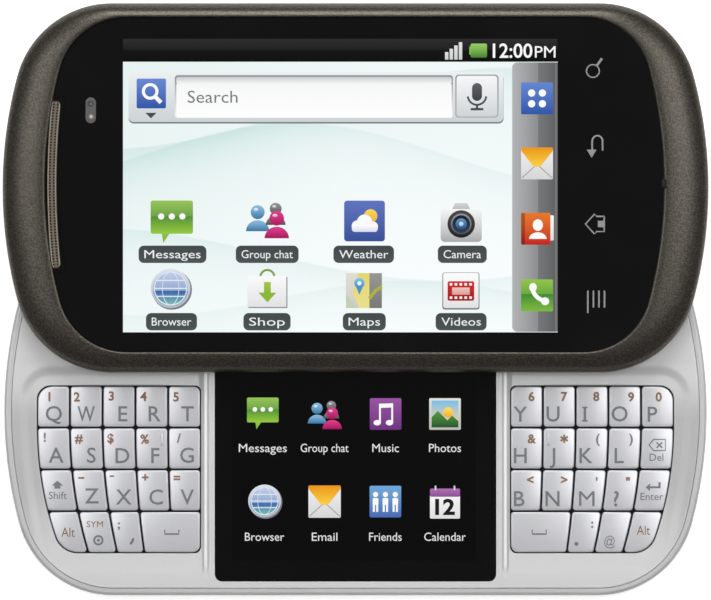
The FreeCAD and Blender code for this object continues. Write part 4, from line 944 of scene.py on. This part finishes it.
SIGNS = {
    "q": ("1", 49.4, 401.0), "w": ("2", 76.8, 401.2), "e": ("3", 111.3, 400.3),
    "r": ("4", 143.4, 400.8), "t": ("5", 176.0, 401.2), "y": ("6", 531.5, 400.8),
    "u": ("7", 564.2, 400.8), "i": ("8", 596.3, 400.8), "o": ("9", 631.1, 401.2),
    "p": ("0", 658.7, 401.2), "a": ("!", 44.7, 441.6), "s": ("#", 78.8, 442.6),
    "d": ("$", 110.5, 442.6), "f": ("%", 144.6, 443.4), "g": ("/", 178.8, 442.4),
    "h": ("&", 531.9, 443.0), "k": ("(", 598.0, 442.8),
    "l": (")", 630.9, 442.8), "c": ("+", 145.1, 481.8), "v": ("=", 176.8, 482.4),
    "b": ("<", 530.3, 484.2), "n": (">", 564.2, 484.2), "m": ("'", 596.8, 486.5),
    "question": ("\"", 628.0, 486.5), "comma": (";", 118.9, 528.4), "period": (":", 592.2, 527.6),
}


def legend_of(name):
    """The artwork of one key, in order: its letter, its sign or its word and glyph."""
    art = Artwork(on_base, 0.0)
    letter = name.upper()
    if letter in LETTERS:
        wide = {"W": 17.5, "M": 15.6}.get(letter)
        art.add(lettering(letter, *LETTERS[letter], LETTER_CAP, wide, 0.008), GREY)
    if name in SIGNS:
        sign, x, y = SIGNS[name]
        art.add(lettering(sign, x, y, SIGN_CAP, None, 0.03), GREY if sign in ";:!/()'" else BROWN)
    if name == "i":
        for y in (406.7, 420.0):
            art.add(box(582.0, y, 587.6, y + 1.5), GREY)
    elif name == "z":
        art.add(box(78.2, 477.0, 84.2, 478.9), BROWN)
    elif name == "x":
        art.add(box(109.6, 475.2, 114.0, 477.0), GREY)
    elif name == "j":
        for turn in np.radians((30, 90, 150)):
            arm = np.array([math.cos(turn), math.sin(turn)]) * 4.2
            art.add(stroke([(564.2, 438.8) - arm, (564.2, 438.8) + arm], 1.9), BROWN)
    elif name == "question":
        art.add(lettering("?", 616.3, 506.0, LETTER_CAP, None, 0.012), GREY)
    elif name == "shift":
        art.add(shape((57.4, 480.6), (63.2, 485.6), (60.4, 485.6), (60.4, 488.6), (54.4, 488.6),
            (54.4, 485.6), (51.6, 485.6)), GREY)
        art.add(lettering("Shift", 57.9, 499.0, WORD_CAP, 18.2), GREY)
    elif name == "enter":
        art.add(shape((645.6, 487.2), (650.0, 483.4), (650.0, 486.3), (658.4, 486.3), (658.4,
            482.2), (660.6, 482.2), (660.6, 488.2), (650.0, 488.2), (650.0, 491.0)), GREY)
        art.add(lettering("Enter", 651.8, 500.0, WORD_CAP, 22.8), GREY)
    elif name == "delete":
        art.add(stroke([(653.6, 439.4), (665.4, 439.4), (665.4, 450.6), (653.6, 450.6), (649.0,
            445.0), (653.6, 439.4)], 1.3), GREY)
        art.add(stroke([(656.6, 442.4), (662.2, 447.8)], 1.5), GREY)
        art.add(stroke([(662.2, 442.4), (656.6, 447.8)], 1.5), GREY)
        art.add(lettering("Del", 656.4, 460.8, WORD_CAP, 13.8), GREY)
    elif name == "symbol":
        art.add(lettering("SYM", 94.8, 527.2, 6.0, 16.4), BROWN)
        art.add(ring(98.4, 540.2, 4.2, 2.0), GREY)
        art.add(disc(98.4, 540.2, 1.5), GREY)
    elif name == "comma":
        art.add(stroke([(133.3, 538.2), (132.6, 540.8), (130.4, 544.2)], 2.5), GREY)
    elif name == "period":
        art.add(disc(576.4, 543.8, 2.0), GREY)
    elif name == "at":
        art.add(lettering("@", 609.6, 545.6, 9.4, 10.8), GREY)
    elif name.startswith("alt"):
        x, y = (68.1, 536.8) if name == "alt_left" else (643.4, 534.8)
        art.add(lettering("Alt", x, y, 9.2, 13.4), BROWN)
    elif name.startswith("space"):
        x = 171.8 if name == "space_left" else 539.2
        art.add(stroke([(x - 7.0, 529.8), (x - 7.0, 534.0), (x + 7.0, 534.0), (x + 7.0, 529.8)],
            1.7), GREY)
    return art


for name, top in key_tops.items():
    legend_of(name).make("legend_" + name, "key_" + name, INK, lambda x, y: top(x, y) + LEGEND_LIFT)
print("legends:", len(key_tops))

# %% [markdown]
# The F and J keys carry a small upright bar each, so that the forefingers find their place. It
# is half a rounded rod, let into the crown.

# %% Homing bars
for name, x in (("f", 162.0), ("j", 548.4)):
    plan = on_base(*box(x - 1.5, 434.0, x + 1.5, 446.0, 1.5).T)[::-1]
    middle = plan.mean(0)
    levels = [(1.0, -0.1), (0.96, 0.06), (0.8, 0.12), (0.5, 0.15), (0.15, 0.155)]
    loops = [middle + (plan - middle) * share for share, _ in levels]
    loops = [lift(l, key_tops[name](*l.T) + z) for l, (_, z) in zip(loops, levels)]
    points, faces = closed_top(np.stack(loops))
    add_piece("homing_bar_" + name, points, faces, "key_" + name, FINISHES["keycap_silver"])
print("homing bars: 2")

# %% [markdown]
# The big screen. A pale mint picture with soft sweeps fills it; a thin dark bar with the signal,
# battery and clock runs along its top, and a grey tray of four icons stands at its right end.
# The sweeps are a finish of their own: each is a sine curve across the screen with a glow that
# fades on its lower side, all in Object coordinates. The icons and words are plain ones.

# %% Home picture
SCREEN_TOP, PRINT_TOP, SMALL_SCREEN_TOP, MESH_TOP = 15.36, 15.355, 8.51, 15.38


def home_picture():
    """Mint to white, with four sweeps: each darkens by an exponential of the distance below a
    sine curve and ends sharply above it."""
    paint = Paint("home_picture_light")
    x, y, _ = paint.axes()
    shade = (y.step(8.0, 66.0) * 0.25) + (x.step(10.0, -45.0) * 0.2)
    for level, swing, wave, start, width, weight in (
        (52.0, 7.0, 0.045, 0.4, 5.0, 0.4),
        (44.0, 5.5, 0.06, 2.2, 3.6, 0.26),
        (27.0, 4.5, 0.052, 3.9, 4.2, 0.34),
        (19.5, 3.0, 0.07, 0.9, 3.0, 0.22),
    ):
        curve = (x * wave + start).math("SINE") * swing + level
        below = curve - y
        fade = (below * (-1.0 / width)).math("EXPONENT")
        shade = shade + fade * below.step(-0.35, 0.1) * weight
    tone = paint.blend(shade.math("MINIMUM", 1.0), light(251, 254, 255), light(203, 229, 225))
    return lit_glass(paint, tone, dot_grid(x, 0.04))


picture = on_display_half(*box(123.0, 61.6, 557.8, 332.3).T)
add_piece("home_picture", lift(picture[::-1], SCREEN_TOP - 0.005), [list(range(len(picture)))],
    "display_half", home_picture(), smooth=False)
print("home picture, mm:", np.ptp(picture, axis=0).round(2))

# %% [markdown]
# Small drawings that both screens share. Each is a few shapes in units of its own about its
# middle, where a tile is about 40 across; `Artwork.draw` puts it in its place at a scale.

# %% Icons
WHITE = (250, 250, 250)


def bubble(art):
    """A green speech bubble with three dots."""
    art.add(shape((-10, 12), (0, 12), (-8, 24)), (146, 200, 70), (122, 178, 56))
    art.add(box(-20, -16, 20, 5, 2), (150, 196, 88), (84, 146, 60))
    art.add(box(-20, -1, 20, 15.4, 2), (80, 142, 54), (146, 200, 62))
    for step in (-1, 0, 1):
        art.add(disc(10 * step, -1, 2.9), WHITE)


def people(art):
    """Three people from the shoulders up, in blue, grey and magenta."""
    for dx, dy, r, top, low in ((-9, 0, 1, (140, 190, 225), (48, 112, 160)),
                                (8, -4, 0.85, (150, 150, 152), (72, 72, 76)),
                                (9, 6, 1.05, (226, 60, 140), (160, 16, 90))):
        art.add(disc(dx, dy + 13 * r, 11 * r, 0.95, 180, 360), top, low)
        art.add(disc(dx, dy - 5 * r, 6.6 * r), top, low)
        art.add(disc(dx - 1.6 * r, dy - 7.4 * r, 2.2 * r, 0.7), WHITE, top)


def cloud(art):
    """A blue tile with a white cloud and a sun behind it."""
    art.add(box(-20, -20, 20, 20, 3), (94, 116, 190), (56, 78, 152))
    art.add(disc(6, -5, 6.6), (250, 214, 90), (240, 178, 50))
    for dx, dy, r in ((-7, 5, 5.6), (0, 1, 7.4), (8, 5.5, 5.2)):
        art.add(disc(dx, dy, r), WHITE)
    art.add(box(-12.5, 4.6, 13, 10.7, 3), WHITE, (216, 222, 236))


def camera_icon(art):
    """A light grey camera seen from the front."""
    art.add(shape((-10, -13), (-6, -21), (6, -21), (10, -13)), (214, 214, 216), (176, 176, 178))
    art.add(box(-20.6, -15, 20.6, 18, 4), (246, 246, 247), (170, 170, 172))
    for radius, top, low in ((13.8, (70, 70, 72), (26, 26, 28)),
                             (10.4, (150, 154, 160), (70, 74, 80)),
                             (8.8, (20, 24, 32), (44, 60, 84)),
                             (5.6, (96, 150, 200), (30, 70, 120)),
                             (2.2, (220, 240, 250), (150, 190, 220))):
        art.add(disc(0, 0, radius), top, low)


def globe(art):
    """A silver rimmed blue ball with its meridians and two bands of land colour."""
    art.add(disc(1.2, 1.2, 20.2), (120, 122, 130))
    art.add(disc(0, 0, 19.8), (226, 228, 236), (176, 182, 196))
    art.add(disc(0, 0, 17.6), (196, 206, 236), (70, 128, 176))
    art.add(disc(0, 0, 17.6, 1, 8, 172), (52, 92, 170), (122, 190, 176))
    for squash in (0.02, 0.5, 0.98):
        places, faces = ring(0, 0, 16.6, 1.1)
        art.add((places * (squash, 1), faces), (224, 232, 244))
    for dy, half in ((-8, 14.6), (0, 16.6), (8, 14.6)):
        art.add(box(-half, dy - 0.6, half, dy + 0.6), (224, 232, 244))


def bag(art):
    """A white shopping bag with a green arrow down."""
    art.add(ring(0, -13, 7, 2.2, 1, 180, 360), (128, 158, 70))
    art.add(box(-19, -13, 20, 18), (120, 124, 122))
    art.add(box(-20, -14, 19, 17), (250, 250, 250), (226, 226, 229))
    art.add(box(-3.4, -8, 3.4, 3), (160, 200, 66), (140, 182, 52))
    art.add(shape((-9, 2.6), (9, 2.6), (0, 12.4)), (140, 182, 52))


def map_icon(art):
    """A folded map with a road, a park and a blue pin."""
    art.add(box(-18.5, -17.5, 17.5, 17.5), (226, 222, 212), (206, 202, 196))
    art.add(shape((-6, -17.5), (5, -17.5), (5, 17.5), (-5, 17.5), (-12, 2)), (226, 214, 110), (234,
        224, 140))
    art.add(shape((-18.5, 3), (-8, 17.5), (-18.5, 17.5)), (196, 206, 176))
    art.add(box(5, -17.5, 17.5, 17.5), (150, 150, 146), (118, 118, 118))
    art.add(stroke([(5, 8), (11, 0), (17.5, -4)], 3.4), (172, 176, 60))
    art.add(shape((-9.4, -6), (-0.6, -6), (-5, 4.4)), (70, 150, 200))
    art.add(disc(-5, -7.4, 5.2), (120, 196, 230), (60, 140, 196))
    art.add(disc(-5, -7.4, 2), WHITE)


def film(art):
    """A white tile with a red strip of film."""
    art.add(box(-19, -19, 19, 19, 2.6), (150, 150, 152), (120, 120, 122))
    art.add(box(-18, -18.4, 18, 17.4, 2), (252, 252, 252), (226, 226, 228))
    art.add(box(-13.6, -10, 13.6, 10, 2), (206, 44, 44), (160, 20, 26))
    for k in range(5):
        for dy in (-8, 5.6):
            left = -11.4 + 5 * k
            art.add(box(left, dy, left + 2.6, dy + 2.4), WHITE)
    art.add(box(-9, -3.6, 9, 3.8), (236, 196, 190), (222, 160, 150))


def note(art):
    """A purple tile with a double note."""
    art.add(box(-20, -20, 20, 20, 2), (150, 84, 160), (110, 48, 128))
    for dx in (-8, 7.5):
        art.add(disc(dx - 2.6, 11, 4.6, 0.75), WHITE)
        art.add(box(dx - 0.3, -11, dx + 2, 11), WHITE)
    art.add(shape((-8.3, -13), (9.5, -13.6), (9.5, -8.4), (-8.3, -7.6)), WHITE)


def photos(art):
    """A framed picture of hills and a low sun."""
    art.add(box(-20, -20, 20, 20, 1.4), (226, 226, 220), (188, 188, 184))
    art.add(box(-17, -17, 17, 17), (120, 190, 232), (238, 214, 130))
    art.add(disc(4, -2, 6.4), (252, 226, 90), (244, 168, 40))
    art.add(shape((-17, 4), (-9, -4), (3, 8), (9, 2), (17, 9), (17, 17), (-17, 17)), (86, 150, 66),
        (32, 84, 40))


def envelope(art):
    """A white envelope with an orange yellow flap."""
    art.add(box(-19, -19, 19, 19, 1.6), (240, 240, 240), (214, 214, 216))
    for side in (-1, 1):
        art.add(stroke([(side * 18, 17.4), (0, 1)], 1.2), (164, 160, 150))
    art.add(shape((-19, -15), (19, -15), (5, 2.6), (0, 4.4), (-5, 2.6)), (238, 160, 28), (252, 208,
        66))
    art.add(box(-19, -19, 19, -14.9, 1.6), (232, 150, 24), (238, 160, 28))


def group_tile(art):
    """A blue tile with three plain white figures."""
    art.add(box(-20, -20, 20, 20, 2), (112, 168, 220), (70, 104, 178))
    for dx in (-12.5, 0, 12.5):
        art.add(disc(dx, -9, 3.3), WHITE)
        art.add(box(dx - 3.6, -4.6, dx + 3.6, 4, 1.6), WHITE)
        for leg in (-1, 1):
            art.add(box(dx + leg * 2.1 - 1.3, 3, dx + leg * 2.1 + 1.3, 13), WHITE)


def calendar(art):
    """A sheet of a calendar with a purple head and a date."""
    art.add(box(-19, -16, 19, 21, 1.6), (252, 252, 252), (222, 222, 224))
    art.add(box(-19, -17, 19, -6.6, 1.6), (176, 110, 178), (140, 76, 146))
    for dx in (-12, 12):
        art.add(box(dx - 1, -20.6, dx + 1, -15), (214, 214, 216))
    art.add(lettering("12", 0, 15.6, 18.6, 25, 0.035), (24, 24, 24))


def dots(art):
    """A blue tile with four white dots."""
    art.add(box(-19, -19, 19, 19, 1.4), (98, 134, 208), (44, 84, 170))
    for dx in (-6.4, 6.4):
        for dy in (-6.4, 6.4):
            art.add(disc(dx, dy, 4.3), WHITE)


def contact_book(art):
    """An orange red address book with a person on its cover."""
    art.add(box(14, -16, 20, 14, 1.19), (250, 250, 250), (220, 220, 220))
    art.add(box(-19, -19, 16, 19, 1.6), (232, 120, 40), (196, 26, 30))
    art.add(box(-19, -19, -14.4, 19, 1.6), (180, 86, 30), (140, 18, 20))
    art.add(disc(1, -4.4, 6, 1.15), WHITE)
    art.add(disc(1, 12, 10.4, 0.75, 180, 360), WHITE)


def handset(art):
    """A green tile with a telephone handset."""
    art.add(box(-19, -19, 19, 0, 1.4), (146, 196, 70), (98, 166, 60))
    art.add(box(-19, -1.5, 19, 19, 1.4), (60, 136, 48), (124, 186, 62))
    art.add(ring(12, -11, 17.6, 5, 1, 92, 178), WHITE)
    art.add(disc(-4.8, -9.6, 4.5, 1.15), WHITE)
    art.add(disc(9.6, 7, 4.9, 0.95), WHITE)


print("icons drawn by functions: 16")

# %% Home screen
OVER_BARS, OVER_TRAY = 3, 6
home = Artwork(on_display_half, SCREEN_TOP)
home.add(box(123.0, 38.8, 557.4, 50.0), (42, 42, 42), (26, 26, 26))
home.add(box(123.0, 50.0, 557.4, 61.8), (12, 12, 12), (3, 3, 3))
for k in range(4):
    left = 445.0 + 4.6 * k
    home.add(box(left, 52.1 - 3.3 * k, left + 3.4, 59.6), (226, 228, 228), (206, 208, 208))
home.add(box(469.4, 46.6, 471.0, 54.6), (140, 196, 90))
home.add(box(470.6, 43.6, 487.0, 57.6, 1.6), (150, 206, 100), (66, 128, 44))
home.add(lettering("12:00", 512.6, 57.6, 13.8, 39.6, 0.012), WHITE)
home.add(lettering("PM", 545.2, 57.6, 11.4, 20.6), WHITE)
for icon, x, y, size, words, pill in (
    (bubble, 171.8, 217.5, 1.06, "Messages", (138.6, 206.4)),
    (people, 267.2, 217.5, 1.06, "Group chat", (235.8, 298.6)),
    (cloud, 364.5, 221.0, 1.02, "Weather", (333.4, 394.0)),
    (camera_icon, 461.2, 224.0, 1.0, "Camera", (437.8, 486.8)),
    (globe, 170.6, 288.4, 1.0, "Browser", (146.0, 197.0)),
    (bag, 267.4, 290.0, 1.0, "Shop", (243.4, 290.6)),
    (map_icon, 364.4, 290.6, 1.0, "Maps", (342.8, 385.8)),
    (film, 460.9, 291.0, 0.98, "Videos", (435.6, 486.6)),
):
    home.layer = OVER_BARS
    home.draw(icon, x, y, size)
    low_edge = 263.0 if y < 250 else 330.4
    home.add(box(pill[0], low_edge - 17.4, pill[1], low_edge, 5.2), (66, 72, 72), (76, 82, 82))
    home.add(lettering(words, sum(pill) / 2, low_edge - 4.8, 8.0, pill[1] - pill[0] - 11.5), (238,
        242, 242))

# the search bar: its shadow, its frame, the blue tile, the field and the microphone
home.layer = OVER_BARS
home.add(box(128.6, 73.0, 503.6, 123.6, 5.0), (90, 100, 104), (120, 128, 132))
home.add(box(128.6, 72.0, 503.4, 122.0, 5.0), (236, 240, 242), (205, 210, 213))
home.add(box(136.6, 78.6, 166.0, 108.4, 1.6), (104, 136, 208), (44, 82, 168))
home.add(ring(150.2, 91.4, 6.8, 3.0), WHITE)
home.add(stroke([(155.0, 96.4), (161.0, 102.6)], 4.0), WHITE)
home.add(shape((145.4, 112.8), (156.6, 112.8), (151.0, 118.4)), (70, 74, 76))
home.add(box(174.8, 75.2, 453.0, 118.0, 3.0), (136, 140, 142), (246, 248, 248))
home.add(box(176.4, 76.8, 451.6, 84.0, 2.0), (198, 200, 201), (246, 247, 247))
home.add(box(176.4, 83.6, 451.6, 117.0, 1.6), (246, 247, 247), (254, 254, 254))
home.add(lettering("Search", 212.6, 102.8, 12.0, 50.0, 0.0), (122, 124, 126))
home.add(box(455.2, 74.6, 498.6, 117.8, 3.6), (150, 154, 156), (176, 180, 182))
home.add(box(456.6, 75.8, 497.2, 116.4, 3.0), (246, 248, 248), (208, 212, 214))
home.add(box(472.0, 83.0, 482.0, 101.0, 5.0), (92, 96, 98), (58, 62, 64))
home.add(ring(477.0, 95.6, 9.2, 2.0, 1.0, 5, 175), (72, 76, 78))
home.add(box(475.9, 104.0, 478.1, 109.0), (72, 76, 78))
home.add(box(470.6, 108.0, 483.4, 110.4, 0.8), (72, 76, 78))

# the tray of four icons
home.layer = OVER_BARS
home.add(box(512.2, 62.4, 557.8, 331.8, 5.0), (178, 179, 180), (100, 101, 102), across=True)
home.add(box(538.0, 62.4, 557.8, 331.8), (118, 119, 120), (92, 93, 94), across=True)
home.add(box(555.4, 62.4, 557.8, 331.8), (138, 138, 138), (80, 80, 80), across=True)
for icon, y in ((dots, 98.4), (envelope, 163.4), (contact_book, 228.8), (handset, 295.4)):
    home.layer = OVER_TRAY
    home.draw(icon, 537.0, y, 0.84)
home.make("home_screen", "display_half", SCREEN)
print("shapes on the home screen:", len(home.points), "up to mm:", round(float(max(p[0,
    2] for p in home.points)), 3))

# %% [markdown]
# The four touch keys beside the big screen are printed under its glass: search, back, home and
# menu. The pill at the other end holds a sensor and its window, and a small notch at the
# glass's right edge lets the voice in.

# %% Prints on the cover glass
KEY_PRINT = (136, 136, 137)
prints = Artwork(on_display_half, PRINT_TOP)
prints.add(ring(592.9, 71.0, 6.4, 1.3), KEY_PRINT)
prints.add(stroke([(596.8, 65.6), (602.0, 58.4)], 2.4), KEY_PRINT)
prints.add(ring(597.4, 141.4, 5.2, 1.7, 1.1, 180, 360), KEY_PRINT)
prints.add(box(601.7, 141.0, 603.4, 150.6), KEY_PRINT)
prints.add(box(591.3, 141.0, 593.0, 150.6), KEY_PRINT)
prints.add(shape((586.8, 149.6), (596.4, 149.6), (591.6, 157.8)), KEY_PRINT)
prints.add(stroke([(604.2, 216.4), (596.4, 216.4), (594.6, 214.0), (585.4, 224.0), (594.6, 234.0),
    (596.4, 231.6), (604.2, 231.6), (604.2, 216.4)], 1.5), KEY_PRINT)
prints.add(box(597.8, 220.8, 603.6, 227.2), KEY_PRINT)
for x, low_end in ((587.8, 313.0), (593.4, 307.6), (598.9, 307.6), (604.5, 307.6)):
    prints.add(box(x - 0.8, 290.6, x + 0.8, low_end), KEY_PRINT)
prints.add(box(85.6, 97.4, 95.9, 123.2, 5.1), (86, 86, 87), (84, 80, 76))
prints.add(disc(90.5, 103.6, 3.2), (60, 60, 62), (50, 50, 52))
prints.add(disc(90.9, 104.0, 1.2), (104, 104, 106))
prints.add(disc(91.2, 116.6, 2.6), (128, 122, 116))
prints.add(disc(91.2, 116.6, 1.3), (196, 192, 186))
prints.make("cover_glass_prints", "display_half", INK)
notch = on_display_half(*box(661.6, 179.2, 666.6, 188.4, 1.4).T)[::-1]
points, faces = closed_top(np.stack([lift(notch, 15.3), lift(notch, 15.67), lift(notch, 15.7)]))
add_piece("voice_notch", points, faces, "display_half", FINISHES["black_rubber"])
print("prints on the glass:", len(prints.points))

# %% [markdown]
# The small display between the key clusters shows the same kinds of icons on black, in two rows
# with white words under them. A faint edge marks where the lit panel ends under its glass.

# %% Second screen
second = Artwork(on_base, SMALL_SCREEN_TOP)
second.add(box(232.2, 373.0, 476.0, 560.4), (1, 1, 1), (0, 0, 0))
for icon, x, y, size, words, wide in (
    (bubble, 262.8, 410.2, 0.79, "Messages", 48.0),
    (people, 324.6, 412.6, 0.84, "Group chat", 48.0),
    (note, 385.6, 414.0, 0.79, "Music", 26.6),
    (photos, 445.0, 414.0, 0.79, "Photos", 32.0),
    (globe, 264.6, 501.0, 0.83, "Browser", 39.4),
    (envelope, 324.6, 501.6, 0.85, "Email", 25.6),
    (group_tile, 385.4, 501.6, 0.79, "Friends", 32.6),
    (calendar, 445.0, 502.0, 0.79, "Calendar", 41.6),
):
    second.layer = 1
    second.draw(icon, x, y, size)
    second.add(lettering(words, x, 452.0 if y < 450 else 540.8, 8.2, wide), (226, 226, 226))
second.make("second_screen", "base", SCREEN)
print("shapes on the second screen:", len(second.points), "up to mm:", round(float(max(p[0,
    2] for p in second.points)), 3))

# %% [markdown]
# The flexible circuit joins the two halves. The real one folds as they slide; here it is cut at
# the joint. Its lower end stands in the base's slit, up to the deck, and its upper end comes
# down from the display half to just above it, so that neither meets anything on the way.

# %% Flexible circuit
flex_low, flex_high = (np.array(c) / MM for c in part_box("display_flex"))
FLEX_THICK, FLEX_BEND = 0.2, 1.1
UPPER_END, BEND_START, LOWER_MIDDLE, LOWER_END = 8.95, 9.6, 7.6, 8.75


def ribbon(path):
    """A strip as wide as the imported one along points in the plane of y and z."""
    path = np.array(path)
    along = np.gradient(path, axis=0)
    along /= np.linalg.norm(along, axis=1, keepdims=True)
    side = np.stack([-along[:, 1], along[:, 0]], 1) * FLEX_THICK / 2
    corners = [(flex_low[0], -1), (flex_high[0], -1), (flex_high[0], 1), (flex_low[0], 1)]
    loops = np.stack([np.column_stack([np.full(len(path), x), path + k * side]) for x,
        k in corners], 1)
    points, faces = closed_top(loops)
    return points, [[3, 2, 1, 0], *faces]


standing_y, roof_z = flex_low[1] + FLEX_THICK / 2, flex_high[2] - FLEX_THICK / 2
turn = np.linspace(0, math.pi / 2, 9)
bend = np.stack([standing_y + FLEX_BEND * (1 - np.cos(turn)),
    roof_z - FLEX_BEND * (1 - np.sin(turn))], 1)
upper_path = [(standing_y, UPPER_END), (standing_y, BEND_START), *bend, (flex_high[1], roof_z)]
lower_path = [(standing_y, flex_low[2]), (standing_y, LOWER_MIDDLE), (standing_y, LOWER_END)]
for name, path, body, gone in (("flex_upper", upper_path, "display_half", ("display_flex",)),
                               ("flex_lower", lower_path, "base", ())):
    points, faces = ribbon(path)
    add_piece(name, points, faces, body, FINISHES["flex_film"], replaced=gone,
        smooth=False)
print("flexible circuit, mm:", flex_low.round(2), flex_high.round(2))

# %% [markdown]
# The earpiece: a narrow bowed bronze frame at the glass's left end, with a mesh of small round
# holes. The strip is ruled across an arc; its own map runs in millimetres across and along, and
# the holes are circles about every grid point of that map, dark and sunk by the bump.

# %% Earpiece mesh
HOLE_PITCH, HOLE_COLUMN, MAP_SPAN = 0.5, 0.34, 100
GRILLE_CENTER, GRILLE_RADIUS, GRILLE_HALF, GRILLE_WIDTH = 81.9, 134.0, 14.35, 1.62


def pierced_bronze():
    """Bronze with two columns of round holes and a brighter rim on either side."""
    paint = Paint("pierced_bronze")
    across, along, _ = paint.axes(paint.node("ShaderNodeUVMap", {"uv_map": "strip"}))
    across, along = across * MAP_SPAN, along * MAP_SPAN
    row = (along / HOLE_PITCH).math("FRACT") - 0.5
    dx, dy = (abs(across) - HOLE_COLUMN) / HOLE_PITCH, row
    distance = (dx * dx + dy * dy).math("SQRT")
    hole = distance.step(0.42, 0.3)
    rim = abs(across).step(0.52, 0.66)
    grain = paint.noise(3.0)
    metal = paint.blend(grain * 0.3 + rim * 0.6, light(112, 104, 92), light(166, 158, 142))
    return paint.finish(Base_Color=paint.blend(hole, metal, light(6, 5, 4)),
        Metallic=0.7 - hole * 0.7, Roughness=0.34 + grain * 0.1, Specular_IOR_Level=0.3,
        Normal=paint.bump(1 - hole, 0.4, 0.1))


half_turn = math.asin(GRILLE_HALF / GRILLE_RADIUS)
along = half_turn * np.sin(np.linspace(-math.pi / 2, math.pi / 2, 97))
share = np.linspace(-1, 1, 15)
taper = np.sqrt(np.clip(1 - ((np.abs(along) - half_turn + 0.006) / 0.006).clip(0) ** 2, 0.02, 1))
radius = GRILLE_RADIUS - 0.5 * GRILLE_WIDTH * share[:, None] * taper[None, :]
lip = 0.16 * smooth(np.abs(share), 0.6, 0.8) * (1 - smooth(np.abs(share), 0.86, 1.0))
grid = np.stack([GRILLE_CENTER - radius * np.cos(along),
    GLASS_SHIFT + TRAVEL + radius * np.sin(along),
    np.broadcast_to((MESH_TOP + 0.5 * lip - 0.1 * (np.abs(share) == 1))[:, None], radius.shape)],
    axis=-1)
grille = add_piece("earpiece_mesh", grid.reshape(-1, 3), grid_faces(15, 97, closed=False)[:, ::-1],
    "display_half", pierced_bronze())
uv_layer = grille.data.uv_layers.new(name="strip")
corner_points = np.zeros(len(grille.data.loops), np.int32)
grille.data.loops.foreach_get("vertex_index", corner_points)
strip = np.stack(np.broadcast_arrays(0.5 * GRILLE_WIDTH * share[:, None],
    GRILLE_RADIUS * along[None, :]), -1).reshape(-1, 2)
uv_layer.data.foreach_set("uv", (strip[corner_points] / MAP_SPAN).astype(np.float32).ravel())
print("earpiece mesh, mm:", np.ptp(grid.reshape(-1, 3), axis=0).round(2))

# %% Sizes and finish
low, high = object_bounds()
print("visual box, metres:", list(low), list(high))
